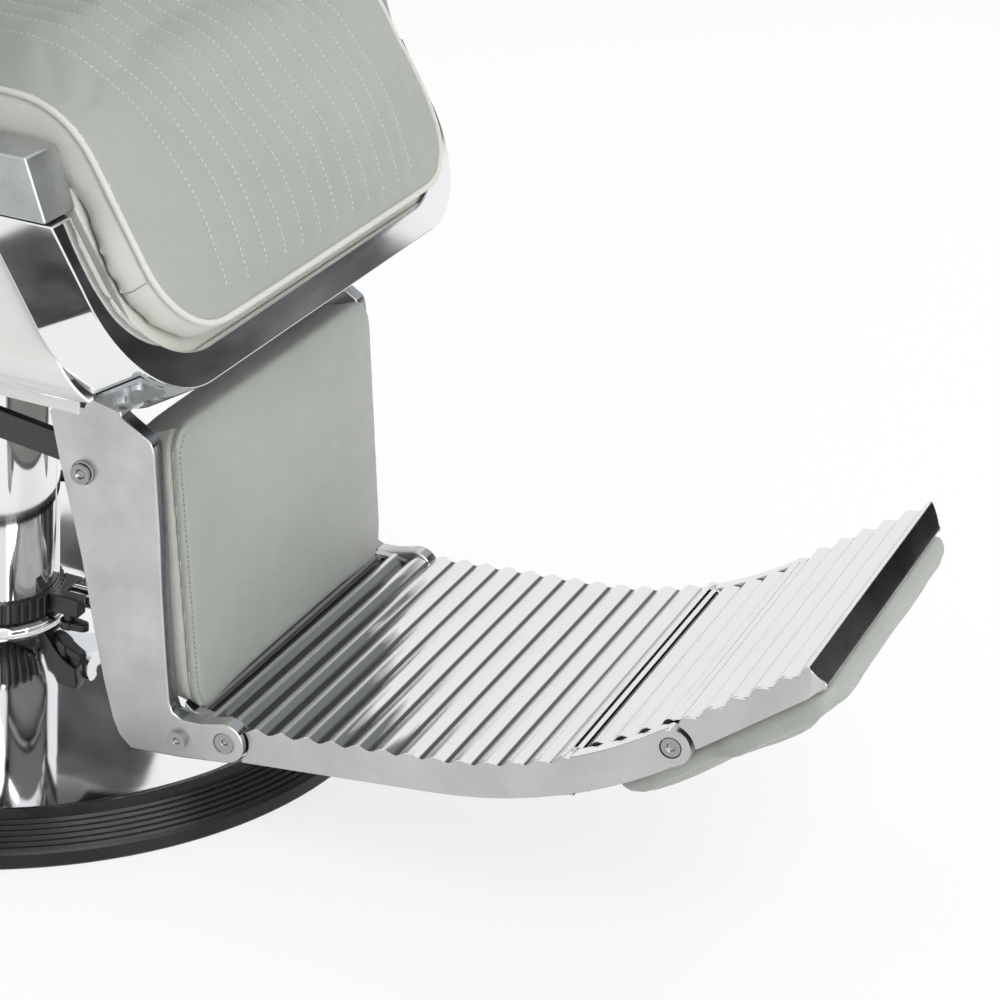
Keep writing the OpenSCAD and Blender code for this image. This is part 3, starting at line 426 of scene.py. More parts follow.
def deck_place(points):
    """Distance forwards from the start of the curl and height over the deck, in millimetres."""
    yz = points[:, 1:] / MM
    rel = yz - CURL_C
    angle = np.degrees(np.arctan2(-rel[:, 0], -rel[:, 1]))
    u = (angle - BACK_SLOPE) * math.pi / 180 * CURL_R
    out = CURL_R - np.linalg.norm(rel, axis=1)
    a = math.radians(TOE_SLOPE)
    curl_end = CURL_C + CURL_R * np.array((-math.sin(a), -math.cos(a)))
    flats = ((BACK_SLOPE, np.array(CURL_START), 0, u < 0), (TOE_SLOPE, curl_end, CURL_LEN, u > CURL_LEN))
    for slope, at, before, pick in flats:
        a = math.radians(slope)
        d = yz[pick] - at
        u[pick] = d @ np.array((-math.cos(a), math.sin(a))) + before
        out[pick] = d @ np.array((math.sin(a), math.cos(a)))
    return u, out


def round_ribs(piece, spare, fullness, shade):
    """Fills out wavy ribs towards half-round ones and marks the valleys by how dark they look."""
    pts = points_of(piece.data)
    u, out = deck_place(pts)
    on = (abs(out) < 2.14) & spare(pts / MM, u)
    height = np.clip((out + 2.1) / RIB_H, 0, 1)
    a = np.radians(BACK_SLOPE + np.clip(u, 0, CURL_LEN) / CURL_R * 180 / math.pi)
    rise = np.where(on, RIB_H * fullness * (np.sqrt(height) - height), 0) * MM
    pts[:, 1] += rise * np.sin(a)
    pts[:, 2] += rise * np.cos(a)
    move_points(piece.data, pts)
    off = (u - JOINT + RIB_PITCH / 2) % RIB_PITCH - RIB_PITCH / 2
    line = np.where(on & (height < 0.3), np.exp(-(off / 2.5) ** 2), 0) * shade(u)
    # The crest marks keep the crests bright inside the painted shade by the calf pad: a painted
    # highlight.
    top = np.where(on, np.exp(-((abs(off) - RIB_PITCH / 2) / 3.2) ** 2), 0)
    for name, values in (("valley", line), ("crest", top), ("deck", on * 1.0)):
        mark = piece.data.attributes.new(name, "FLOAT", "POINT")
        mark.data.foreach_set("value", values.astype(np.float32))
    even_shading(piece, 34)


def cut_groove(piece, start, stop, depth, reach):
    """Mills a straight groove across the deck, between two distances along it."""
    bm = bmesh.new()
    bm.from_mesh(piece.data)
    cuts = []
    for u in (start, stop):
        a = math.radians(BACK_SLOPE) + u / CURL_R
        at = CURL_C + CURL_R * np.array((-math.sin(a), -math.cos(a)))
        cuts.append((Vector((0, *at)) * MM, Vector((0, -math.cos(a), math.sin(a)))))
    cuts += [(Vector((x, 0, 0)) * MM, Vector((1, 0, 0))) for x in (-reach, reach)]
    for at, across in cuts:
        bmesh.ops.bisect_plane(
            bm, geom=bm.verts[:] + bm.edges[:] + bm.faces[:], dist=1e-7, plane_co=at, plane_no=across
        )
    bm.normal_update()
    middle = np.array([tuple(f.calc_center_median()) for f in bm.faces])
    u, out = deck_place(middle)
    pick = (u > start) & (u < stop) & (abs(out) < 2.6) & (abs(middle[:, 0]) < reach * MM)
    strip = [f for f, yes in zip(bm.faces, pick) if yes and f.normal.z > 0.35]
    moved = bmesh.ops.extrude_face_region(bm, geom=strip)["geom"]
    bmesh.ops.delete(bm, geom=strip, context="FACES_ONLY")
    a = math.radians(BACK_SLOPE) + (start + stop) / (2 * CURL_R)
    down = Vector((0, -math.sin(a), -math.cos(a))) * depth * MM
    bmesh.ops.translate(bm, vec=down, verts=[v for v in moved if isinstance(v, bmesh.types.BMVert)])
    bm.to_mesh(piece.data)
    bm.free()


def faces_of(mesh):
    n = len(mesh.polygons)
    centre = np.empty(n * 3)
    normal = np.empty(n * 3)
    mesh.polygons.foreach_get("center", centre)
    mesh.polygons.foreach_get("normal", normal)
    return centre.reshape(-1, 3), normal.reshape(-1, 3)


def refinish(piece, looks):
    """Gives groups of faces their own finish: a list of (material, test on centres and normals)."""
    mesh = piece.data
    centre, normal = faces_of(mesh)
    pick = np.zeros(len(centre), np.int32)
    for mat, test in looks:
        mesh.materials.append(mat)
        pick[test(centre / MM, normal)] = len(mesh.materials) - 1
    mesh.polygons.foreach_set("material_index", pick)
    mesh.update()


def deck_face(c, n):
    u, out = deck_place(c * MM)
    return (abs(out) < 2.6) & (n[:, 2] > 0.35)


GROOVES = ((JOINT - 7.6, JOINT - 5.4), (JOINT - 1.9, JOINT - 0.5))
for start, stop in GROOVES:
    cut_groove(finished["footplate"], start, stop, GROOVE_DEPTH, GROOVE_REACH)
round_ribs(
    finished["footplate"], lambda p, u: (u < 117.6) & ((abs(p[:, 0]) < 147.8) | (u < 104)),
    0.4, lambda u: np.interp(u, (60, 95), (1, 0.55)),
)
round_ribs(finished["toe_plate"], lambda p, u: u > 118, 0.2, lambda u: 0.4 + 0 * u)


# Tests that pick faces by their centres, in millimetres, and their normals


# Painted shade: the floors and walls of the milled grooves get the dark groove finish.
def in_groove(c, n):
    u, out = deck_place(c * MM)
    cut = np.zeros(len(u), bool)
    for start, stop in GROOVES:
        cut |= (u > start - 0.2) & (u < stop + 0.2)
    cut &= (out < -0.5) & (out > -6) & (abs(c[:, 0]) < GROOVE_REACH + 0.2)
    return cut & (n[:, 2] > -0.9)


# Painted shade: the walls in the narrow gap beside the ear get the dark groove finish.
def beside_ear(c, n):
    u, out = deck_place(c * MM)
    return (abs(n[:, 0]) > 0.7) & (u < 190) & (out < 3)


# Painted reflection: picks the forward-facing tip strip for the darker tip colour.
def tip_face(c, n):
    u, out = deck_place(c * MM)
    return (u > 300) & (n[:, 1] < -0.7) & (n[:, 2] > 0.3) & (out < 2.4)


# Painted shade: picks the flat deck behind the ribs, under the calf pad, for the near-black colour.
def behind_ribs(c, n):
    u, out = deck_place(c * MM)
    return (u < -197) & (n[:, 2] > 0.2) & (abs(c[:, 0]) < 160) & (c[:, 1] < -250)


# Painted shade: the rail's inner lip against the cushion gets the dark groove finish.
def rail_lip(c, n):
    return (n @ np.array((0, 0.524, 0.852)) > 0.8) & (c[:, 1] < -180)


refinish(finished["footplate"], [(RIBS, deck_face), (PAINTED_DECK_SHADE, behind_ribs), (GROOVE, in_groove)])
refinish(finished["seat_rail"], [(GROOVE, rail_lip)])
refinish(finished["toe_plate"], [(RIBS, deck_face), (GROOVE, beside_ear), (TIP, tip_face)])
# Painted shade: bracket faces turned forward and down, picked by their normals, get the darker edge
# colour.
for name in ("bracket_left", "bracket_right"):
    refinish(finished[name], [(EDGE, lambda c, n: (abs(n[:, 0]) < 0.25) & (n[:, 1] < -0.3))])
refinish(finished["seat_board"], [(VINYL_SIDE, lambda c, n: n[:, 2] > -0.4)])

# ---------------------------------------------------------------- upholstery

FRONT_SLOPE = 58.4
FRONT = math.radians(FRONT_SLOPE)
ROW_COUNT = 12
ROW_PITCH = 28.5
ROWS = [(i - (ROW_COUNT - 1) / 2) * ROW_PITCH for i in range(ROW_COUNT)]

# The piping line round the seat's top panel, in millimetres
RIM_HW = 235
RIM_TOP = 594
RIM_REAR = 165
RIM_BEND = (-162.5, 519)  # centre of the bend over the front edge
RIM_BEND_R = 75
RIM_PROUD = 22.5  # above the sloping front's own plane
RIM_FOOT = 35  # lowest line of the piping, up the front
CORNER_R = 62
CORNER = (RIM_HW - CORNER_R, RIM_FOOT + CORNER_R)


def turned(origin, degrees):
    """A flat pad's own frame: X across, Y up the pad, Z out of its face, in millimetres."""
    return Matrix.Translation(Vector((0, *origin))) @ Matrix.Rotation(math.radians(degrees), 4, "X")


ON_FRONT = turned((-301.6, 393), FRONT_SLOPE)
ON_CALF = turned((-260.75, 222.5), 84)
ON_BACK = turned((215, 450), -9)
ON_HEAD = ON_BACK @ Matrix.Translation((0, 0, 756)) @ Matrix.Rotation(math.pi / 2, 4, "X")
ON_TOE = turned((-654.97, 162.36), 140.67)


def placed(where, x, y, z=0.0):
    return (where @ Vector((x, y, z))) * MM


def seen_from(where, points):
    """Points in millimetres, measured in a pad's own frame."""
    return np.c_[points, np.ones(len(points))] @ np.array(where.inverted()).T


def rounded_path(hw, low, high, r, step=4.0):
    """Points round a rectangle with round corners, starting halfway along its foot."""
    pts = []

    def side(a, b):
        n = max(int(math.dist(a, b) / step), 1)
        pts.extend([(a[0] + (b[0] - a[0]) * i / n, a[1] + (b[1] - a[1]) * i / n) for i in range(n)])

    def corner(cx, cy, start):
        n = max(int(r * math.pi / 2 / step), 4)
        for i in range(n):
            a = math.radians(start + 90 * i / n)
            pts.append((cx + r * math.cos(a), cy + r * math.sin(a)))

    side((0, low), (hw - r, low))
    corner(hw - r, low + r, -90)
    side((hw, low + r), (hw, high - r))
    corner(hw - r, high - r, 0)
    side((hw - r, high), (-hw + r, high))
    corner(-hw + r, high - r, 90)
    side((-hw, high - r), (-hw, low + r))
    corner(-hw + r, low + r, 180)
    side((-hw + r, low), (0, low))
    return pts


def seat_profile(step=5.0):
    """The seat's centre section from back to front: (point, outward normal, distance up the front)."""
    out = []
    level = RIM_REAR - RIM_BEND[0]
    n = int(level / step)
    out += [((RIM_REAR - level * i / n, RIM_TOP), (0.0, 1.0), None) for i in range(n)]
    n = int(RIM_BEND_R * FRONT / step)
    for i in range(n):
        a = FRONT * i / n
        v = (-math.sin(a), math.cos(a))
        out.append(((RIM_BEND[0] + RIM_BEND_R * v[0], RIM_BEND[1] + RIM_BEND_R * v[1]), v, None))
    slope_top = 180.3
    n = int(145 / step)
    for i in range(n + 1):
        u = slope_top - (slope_top - RIM_FOOT) * i / n
        p = ON_FRONT @ Vector((0, u, RIM_PROUD))
        out.append(((p.y, p.z), (-math.sin(FRONT), math.cos(FRONT)), u))
    return out


def seat_rim():
    """The piping line round the seat's top panel, in metres."""
    run = [p for p, n, u in seat_profile() if u is None or u > CORNER[1]]
    foot = [
        (CORNER[0] + CORNER_R * math.cos(a), CORNER[1] - CORNER_R * math.sin(a))
        for a in np.linspace(0, math.pi / 2, 22)
    ]
    right = [Vector((RIM_HW, *p)) * MM for p in run]
    right += [placed(ON_FRONT, x, u, RIM_PROUD) for x, u in foot]
    inner = CORNER[0] - 5
    across = [placed(ON_FRONT, x, RIM_FOOT, RIM_PROUD) for x in np.linspace(inner, -inner, 70)]
    left = [Vector((-v.x, v.y, v.z)) for v in reversed(right)]
    outer = RIM_HW - 5
    rear = [Vector((x, RIM_REAR, RIM_TOP)) * MM for x in np.linspace(-outer, outer, 90)]
    return right + across + left + rear


def flat_rim(where, hw, low, high, r, z):
    return [placed(where, x, y, z) for x, y in rounded_path(hw, low, high, r)]


def tree_of(piece):
    bm = bmesh.new()
    bm.from_mesh(piece.data)
    tree = BVHTree.FromBMesh(bm)
    bm.free()
    return tree


ON_BOARD = 0.5  # a cover's skin lies on its board where it faces it at least this squarely
PINNED = 0.006  # the skin is held this near to the piping, in metres
BLOW_FRAMES = 20


def ease_foot(piece, rests):
    """Evens out the cover's lower edge, where it turns under its board."""
    normals = normals_of(piece.data)
    board = normals @ np.array(rests) > ON_BOARD
    move_points(piece.data, points_of(piece.data) + normals * (board * 2.0 * MM)[:, None])
    bm = bmesh.new()
    bm.from_mesh(piece.data)
    turn = {v for e in bm.edges if board[e.verts[0].index] != board[e.verts[1].index] for v in e.verts}
    for _ in range(4):
        turn |= {e.other_vert(v) for v in turn for e in v.link_edges}
    band = sorted(turn, key=lambda v: v.index)
    for _ in range(24):
        bmesh.ops.smooth_vert(
            bm, verts=band, factor=0.5, use_axis_x=True, use_axis_y=True, use_axis_z=True
        )
    bm.to_mesh(piece.data)
    bm.free()


def evened(mesh, moved, board):
    """Evens out how far the cover moved along the edge of its board."""
    edges = np.empty(len(mesh.edges) * 2, np.int32)
    mesh.edges.foreach_get("vertices", edges)
    a, b = edges.reshape(-1, 2).T
    share = np.zeros(len(moved))
    turns = board[a] != board[b]
    share[a[turns]] = share[b[turns]] = 1
    count = np.maximum(np.bincount(edges, minlength=len(moved)), 1)
    for _ in range(4):
        grown = share.copy()
        np.maximum.at(grown, a, share[b] * 0.9)
        np.maximum.at(grown, b, share[a] * 0.9)
        share = grown
    for _ in range(24):
        total = np.zeros_like(moved)
        np.add.at(total, a, moved[b])
        np.add.at(total, b, moved[a])
        moved = moved + share[:, None] * (total / count[:, None] - moved)
    return moved


def stuff(node, name, rim, rests, voxel, cap, draw=2.0):
    """Covers a pad: remeshed fine, held along its piping and its board, and blown up."""
    piece = merged_copy(node, name)
    only(piece)
    mod = piece.modifiers.new("fine", "REMESH")
    mod.mode = "VOXEL"
    mod.voxel_size = voxel * MM
    mod.use_smooth_shade = True
    apply_mods(piece)
    ease_foot(piece, rests)
    start = points_of(piece.data)
    normals = normals_of(piece.data)
    lines = np.array([tuple(v) for v in rim])
    near = np.full(len(start), 1.0)
    for k in range(0, len(lines), 60):
        gap = np.linalg.norm(start[:, None] - lines[None, k:k + 60], axis=2).min(axis=1)
        near = np.minimum(near, gap)
    board = normals @ np.array(rests) > ON_BOARD
    held = (near < PINNED) | board
    free = np.clip((near - PINNED) / 0.03, 0, 1) * ~board
    move_points(piece.data, start - normals * (free * draw * MM)[:, None])
    group = piece.vertex_groups.new(name="held")
    group.add([int(i) for i in np.nonzero(held)[0]], 1.0, "REPLACE")
    cloth = piece.modifiers.new("blow", "CLOTH")
    kit = cloth.settings
    kit.quality = 4
    kit.mass = 0.35
    kit.tension_stiffness = kit.compression_stiffness = 14
    kit.shear_stiffness = 8
    kit.bending_stiffness = 0.6
    kit.use_pressure = True
    kit.uniform_pressure_force = 4
    kit.vertex_group_mass = "held"
    kit.effector_weights.gravity = 0
    cloth.point_cache.frame_start = 1
    cloth.point_cache.frame_end = BLOW_FRAMES
    for n in range(1, BLOW_FRAMES + 1):
        bpy.context.scene.frame_set(n)
    apply_mods(piece)
    bpy.context.scene.frame_set(1)
    moved = points_of(piece.data) - start
    length = np.linalg.norm(moved, axis=1)
    moved *= (np.minimum(length, cap * MM) / np.maximum(length, 1e-9))[:, None]
    move_points(piece.data, start + evened(piece.data, moved, board))
    piece.vertex_groups.clear()
    mod = piece.modifiers.new("smooth", "SUBSURF")
    mod.levels = mod.render_levels = 1
    mod = piece.modifiers.new("even", "SMOOTH")
    mod.factor = 0.5
    mod.iterations = 2
    apply_mods(piece)
    fit(piece, [node])
    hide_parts(node)
    return piece


def crease(piece, lines, depth, width, facing):
    """Draws the cover in along sewn lines; facing picks the face that they lie on."""
    pts = points_of(piece.data)
    normals = normals_of(piece.data)
    line = np.array([tuple(v) for v in lines])
    pull = np.zeros(len(pts))
    side = facing(pts, normals)
    for k in range(0, len(line), 200):
        part = line[k:k + 200]
        gap = np.linalg.norm(pts[side][:, None] - part[None], axis=2).min(axis=1)
        pull[side] = np.maximum(pull[side], np.exp(-(gap / (width * MM)) ** 2))
    move_points(piece.data, pts - normals * (pull * depth * MM)[:, None])


def two_tone(piece, mat, is_side):
    """Gives the faces of the boxing their own vinyl; the test reads centres in millimetres."""
    mesh = piece.data
    mesh.materials.clear()
    mesh.materials.append(VINYL)
    mesh.materials.append(mat)
    centre, normal = faces_of(mesh)
    mesh.polygons.foreach_set("material_index", is_side(centre / MM, normal).astype(np.int32))
    mesh.update()


def piping(name, path, node, radius, mat, tree=None, sink=0.45, closed=True):
    """A covered cord sewn into a seam, laid along the cover."""
    line = []
    for p in path:
        if tree:
            hit, normal, _, _ = tree.find_nearest(p)
            p = hit + normal * radius * sink * MM
        line.append(Vector(p))
    for _ in range(3):
        line = [
            (line[i - 1] + line[i] * 2 + line[(i + 1) % len(line)]) / 4
            if closed or 0 < i < len(line) - 1 else line[i]
            for i in range(len(line))
        ]
    data = bpy.data.curves.new(name, "CURVE")
    data.dimensions = "3D"
    data.bevel_depth = radius * MM
    data.bevel_resolution = 3
    spline = data.splines.new("POLY")
    spline.points.add(len(line) - 1)
    for point, p in zip(spline.points, line):
        point.co = (*p, 1)
    spline.use_cyclic_u = closed
    data.use_fill_caps = not closed
    piece = bpy.data.objects.new(name, data)
    bpy.context.scene.collection.objects.link(piece)
    only(piece)
    bpy.ops.object.convert(target="MESH")
    piece = bpy.context.object
    bpy.ops.object.shade_smooth()
    piece.data.materials.clear()
    piece.data.materials.append(mat)
    return fit(piece, [node])


def stitch_shape(length, width):
    """One stitch: a small pulled bead of thread."""
    bpy.ops.object.select_all(action="DESELECT")
    bpy.ops.mesh.primitive_uv_sphere_add(segments=6, ring_count=4, radius=0.5)
    bead = bpy.context.object
    bpy.ops.object.mode_set(mode="EDIT")
    bpy.ops.mesh.select_all(action="SELECT")
    bpy.ops.transform.resize(value=(width * MM, width * 0.8 * MM, length * MM))
    bpy.ops.object.mode_set(mode="OBJECT")
    points = points_of(bead.data)
    faces = [tuple(p.vertices) for p in bead.data.polygons]
    bpy.data.objects.remove(bead, do_unlink=True)
    return points, faces


def sew(name, runs, node, mat, pitch=5.0, length=3.6, width=0.9, lift=0.15):
    """Rows of stitches along runs of (point, normal) pairs."""
    bead, bead_faces = stitch_shape(length, width)
    verts, faces = [], []
    for run in runs:
        pts = np.array([tuple(p) for p, _ in run])
        nor = np.array([tuple(n) for _, n in run])
        along = np.concatenate([[0], np.cumsum(np.linalg.norm(np.diff(pts, axis=0), axis=1))])
        count = int(along[-1] / (pitch * MM))
        for i in range(count):
            s = (i + 0.5) * pitch * MM
            p, q, n = (
                np.array([np.interp(t, along, a[:, k]) for k in range(3)])
                for t, a in ((s, pts), (min(s + 0.001, along[-1]), pts), (s, nor))
            )
            d = q - p
            d /= max(np.linalg.norm(d), 1e-9)
            n = n - d * n.dot(d)
            n /= max(np.linalg.norm(n), 1e-9)
            frame3 = np.stack([np.cross(n, d), n, d])
            base = len(verts)
            verts.extend(bead @ frame3 + p + n * lift * MM)
            faces.extend([tuple(v + base for v in f) for f in bead_faces])
    piece = piece_from(name, verts, faces, mat)
    only(piece)
    bpy.ops.object.shade_smooth()
    return fit(piece, [node])


def ring_row(tree, where, hw, low, high, r, z):
    """A closed line round a pad's side, dropped onto its cover from outside."""
    path = [Vector((x, y, z)) for x, y in rounded_path(hw, low, high, r)]
    turn = where.to_3x3()
    out = []
    for i, p in enumerate(path):
        d = path[(i + 1) % len(path)] - path[i - 1]
        out.append(turn @ Vector((d.y, -d.x, 0)).normalized())
    row = laid(tree, [(where @ p) * MM for p in path], out, 0.03)
    return row + row[:1]


def laid(tree, points, normals, reach=0.05):
    """Drops a line of points onto a cover along their normals."""
    run = []
    for p, n in zip(points, normals):
        n = Vector(n).normalized()
        hit, normal, _, _ = tree.ray_cast(Vector(p) + n * reach, -n, reach * 2)
        if hit:
            run.append((hit, normal))
    return run


# ---------------------------------------------------------------- seat

def seat_lines():
    """Sewn rows of the seat: points and normals from the back edge to above the lower piping."""
    runs = []
    for x in ROWS:
        stop = CORNER[1] - math.sqrt(max(CORNER_R ** 2 - max(abs(x) - CORNER[0], 0) ** 2, 0)) + 13
        run = [((x, *p), (0, *n)) for p, n, u in seat_profile(4) if u is None or u > stop]
        runs.append(([Vector(p) * MM for p, n in run], [n for p, n in run]))
    return runs


def past_piping(c, n):
    """Marks the faces outside the piping: the seat's boxing and its back."""
    x, up = abs(c[:, 0]), seen_from(ON_FRONT, c)[:, 1]
    corner = (x > CORNER[0]) & (up < CORNER[1])
    from_corner = np.hypot(x - CORNER[0], up - CORNER[1])
    past_side = x > RIM_HW + 1.5
    low = np.where(corner, from_corner > CORNER_R + 1, past_side | (up < RIM_FOOT - 1))
    out = n @ np.array(ON_FRONT.inverted())[:3, :3].T
    round_out = np.hypot(out[:, 0], np.minimum(out[:, 1], 0)) > 0.6
    side = (abs(n[:, 0]) > 0.6) & (x > RIM_HW - 13) | (round_out & corner & (from_corner > CORNER_R - 10))
    under = (n[:, 2] < -0.7) | ((out[:, 1] < -0.6) & (up < RIM_FOOT + 7))
    return low | side | past_side | (c[:, 1] > RIM_REAR) | under


def make_seat():
    rim = seat_rim()
    cover = stuff("seat_cushion", "seat_cover", rim, (0, 0.6, -0.8), 5.6, 9)
    two_tone(cover, VINYL_SIDE, past_piping)
    tree = tree_of(cover)
    runs = [laid(tree, p, n) for p, n in seat_lines()]
    crease(cover, [p for run in runs for p, _ in run], 1.5, 3.4, lambda p, n: abs(n[:, 0]) < 0.6)
    tree = tree_of(cover)
    runs = [laid(tree, p, n) for p, n in seat_lines()]
    sew("seat_stitches", runs, "seat_cushion", THREAD_PALE)
    piping("seat_piping", rim, "seat_cushion", 2.6, VINYL_SIDE, tree)
    for side, sign in (("left", 1), ("right", -1)):
        cross_seam(cover, tree, "cross_seam_" + side, sign)
    lower_welt()


# Where the boxing's short seam runs on the sitter's left, from its foot to the piping
CROSS_SEAM = ((244.9, -254.3, 464.8), (238.6, -262.6, 468.3), (234.9, -272.2, 476.6))


def cross_seam(cover, tree, name, sign):
    """The short seam that joins two lengths of the seat's boxing near its front corner."""
    knots = np.array(CROSS_SEAM) * MM * (sign, 1, 1)
    path = [[np.interp(t, (0, 1, 2), knots[:, k]) for k in range(3)] for t in np.linspace(0, 2, 24)]
    row = laid(tree, path, [(0.9 * sign, -0.4, 0.1)] * len(path))
    crease(cover, [p for p, _ in row], 1.0, 1.8, lambda p, n: n[:, 0] * sign > 0.3)
    sew(name, [row], "seat_cushion", THREAD_DARK, 2.4, 2.4, 0.6, 0)


WELT_R = 3.3
WELT_LEN = 420
WELT_AT = (0, -286.8, 409.3)


def lower_welt():
    """The vinyl roll that closes the slot between the seat's board and its rail at the front."""
    bpy.ops.object.select_all(action="DESELECT")
    bpy.ops.mesh.primitive_cylinder_add(
        vertices=20, radius=WELT_R * MM, depth=WELT_LEN * MM,
        location=Vector(WELT_AT) * MM, rotation=(0, math.pi / 2, 0),
    )
    roll = bpy.context.object
    roll.name = "lower_welt"
    bpy.ops.object.transform_apply(location=True, rotation=True, scale=True)
    bpy.ops.object.shade_smooth_by_angle(angle=math.radians(40))
    roll.data.materials.append(VINYL_SIDE)
    fit(roll, ["seat_cushion"])


# ---------------------------------------------------------------- back and headrest

BACK_HW = 238
BACK_LOW = 172
BACK_HIGH = 638
BACK_DEEP = 72  # from the board's back to the piping
BACK_UP = ON_BACK @ Matrix.Rotation(math.pi / 2, 4, "X")  # the same place with Y up the backrest


def make_back():
    rim = flat_rim(BACK_UP, BACK_HW, BACK_LOW, BACK_HIGH, 56, BACK_DEEP)
    cover = stuff("back_cushion", "back_cover", rim, tuple(ON_BACK.to_3x3() @ Vector((0, 1, 0))), 5.6, 9)
    face = np.array(ON_BACK.to_3x3() @ Vector((0, -1, 0)))
    two_tone(cover, VINYL_SIDE, lambda c, n: n @ face < 0.6)
    tree = tree_of(cover)

    def rows():
        runs = []
        for x in ROWS:
            zs = np.linspace(BACK_LOW + 16, BACK_HIGH - 16, 110)
            runs.append(laid(tree, [placed(ON_BACK, x, -BACK_DEEP, z) for z in zs], [face] * len(zs)))
        return runs

    crease(cover, [p for run in rows() for p, _ in run], 1.5, 3.4, lambda p, n: n @ face > 0.5)
    tree = tree_of(cover)
    sew("back_stitches", rows(), "back_cushion", THREAD_PALE)
    piping("back_piping", rim, "back_cushion", 2.6, VINYL_SIDE, tree)
    foot = flat_rim(BACK_UP, BACK_HW - 1, BACK_LOW + 1, BACK_HIGH - 1, 55, 12.5)
    piping("back_foot_piping", foot, "back_cushion", 2.2, VINYL_SIDE, tree)


def make_headrest():
    rim = flat_rim(ON_HEAD, 140, -66, 66, 40, 46)
    cover = stuff("headrest_cushion", "headrest_cover", rim,
                  tuple(ON_BACK.to_3x3() @ Vector((0, 1, 0))), 4.2, 7)
    face = np.array(ON_BACK.to_3x3() @ Vector((0, -1, 0)))
    two_tone(cover, VINYL_SIDE, lambda c, n: n @ face < 0.6)
    tree = tree_of(cover)
    piping("headrest_piping", rim, "headrest_cushion", 2.4, VINYL_SIDE, tree)
    row = flat_rim(ON_HEAD, 130, -56, 56, 32, 60)
    sew("headrest_stitches", [laid(tree, row + row[:1], [face] * (len(row) + 1))],
        "headrest_cushion", THREAD_PALE)


# ---------------------------------------------------------------- arm pads

def make_arm_pads():
    for node, side in (("arm_pad_left", 1), ("arm_pad_right", -1)):
        where = Matrix.Translation((261 * side, -14, 786))
        rim = flat_rim(where, 37.5, -148, 148, 24, 25)
        cover = stuff(node, node + "_cover", rim, (0, 0, -1), 4.2, 6)
        two_tone(cover, VINYL_SIDE, lambda c, n: n[:, 2] < 0.55)
        tree = tree_of(cover)
        piping(node + "_piping", rim, node, 2.2, VINYL_SIDE, tree)
        row = flat_rim(where, 28, -138.5, 138.5, 17, 30)
        sew(node + "_stitches", [laid(tree, row + row[:1], [(0, 0, 1)] * (len(row) + 1))],
            node, THREAD_PALE)


# ---------------------------------------------------------------- calf pad

def side_runs(ring):
    """The two stretches of a closed line that run down the sides of a pad."""
    ring = ring[:-1]
    runs = []
    for sign in (-1, 1):
        picked = [k for k, (p, _) in enumerate(ring) if p[0] * sign > 0.15]
        first = next(k for k in picked if (k - 1) % len(ring) not in picked)
        runs.append([ring[(first + i) % len(ring)] for i in range(len(picked))])
    return runs


CALF_HW = 164
CALF_END = 112  # from the middle of the calf pad to its top or bottom
CALF_DROP = 10  # how far the cover sags over the pad's lower edge


def make_calf_pad():
    rim = flat_rim(ON_CALF, CALF_HW, -CALF_END, CALF_END, 22, 9)
    turn = ON_CALF.to_3x3()
    face = np.array(turn @ Vector((0, 0, 1)))
    cover = stuff("calf_pad", "calf_cover", rim, tuple(-face), 4.6, 6)
    pts = points_of(cover.data)
    up = seen_from(ON_CALF, pts / MM)[:, 1]
    corners = 1 + 0.7 * np.clip(abs(pts[:, 0]) / 0.155, 0, 1) ** 4
    drop = np.interp(up, (-CALF_END, -70), (CALF_DROP, 0)) * corners * MM
    move_points(cover.data, pts - np.array(turn @ Vector((0, 1, 0))) * drop[:, None])
    two_tone(
        cover, VINYL_SIDE,
        lambda c, n: (seen_from(ON_CALF, c)[:, 2] < 3) & (abs(c[:, 0]) > CALF_HW - 12),
    )

    def rows():
        tree = tree_of(cover)
        low = -CALF_END - 6
        return [side_runs(ring_row(tree, ON_CALF, CALF_HW, low, CALF_END, 22, z)) for z in (3, 9.5)]

    seam, inner = rows()
    crease(cover, [p for run in seam for p, _ in run], 1.0, 2.6, lambda p, n: n @ face < 0.9)
    crease(cover, [p for run in inner for p, _ in run], 0.8, 2.2, lambda p, n: n @ face > -0.5)
    seam, inner = rows()
    sew("calf_seam", seam, "calf_pad", THREAD_DARK, 2.8, 2.8, 0.8, 0.5)
    sew("calf_stitches", inner, "calf_pad", THREAD_DARK, 4.2, 2.8, 0.7, 0.3)


# ---------------------------------------------------------------- pad under the toe plate

def make_toe_pad():
    toe_run = 144.6
    rim = [placed(ON_TOE, x, y, 0.5) for x, y in rounded_path(150, -60, toe_run + 4.4, 26)]
    face = np.array(ON_TOE.to_3x3() @ Vector((0, 0, 1)))
    cover = stuff("toe_pad", "toe_cover", rim, tuple(-face), 4.6, 5, 1.0)
    two_tone(cover, VINYL, lambda c, n: n @ face < 0.5)
    lines = rounded_path(138, -44, toe_run - 11, 20)

    def row():
        points = [placed(ON_TOE, x, y, 26) for x, y in lines + lines[:1]]
        return laid(tree_of(cover), points, [face] * len(points))

    crease(cover, [p for p, _ in row()], 0.8, 2.6, lambda p, n: n @ face > 0.5)
    sew("toe_pad_stitches", [row()], "toe_pad", THREAD_PALE, 4.6, 3.2, 0.8)


make_seat()
make_back()
make_headrest()
make_arm_pads()
make_calf_pad()
make_toe_pad()

# ---------------------------------------------------------------- camera, light and stage

EYE = Vector((-1.887, -1.198, 1.206))
LOOK = Vector((0.8431, 0.3325, -0.4226))
TOP = Vector((0.3643, 0.2248, 0.9037))


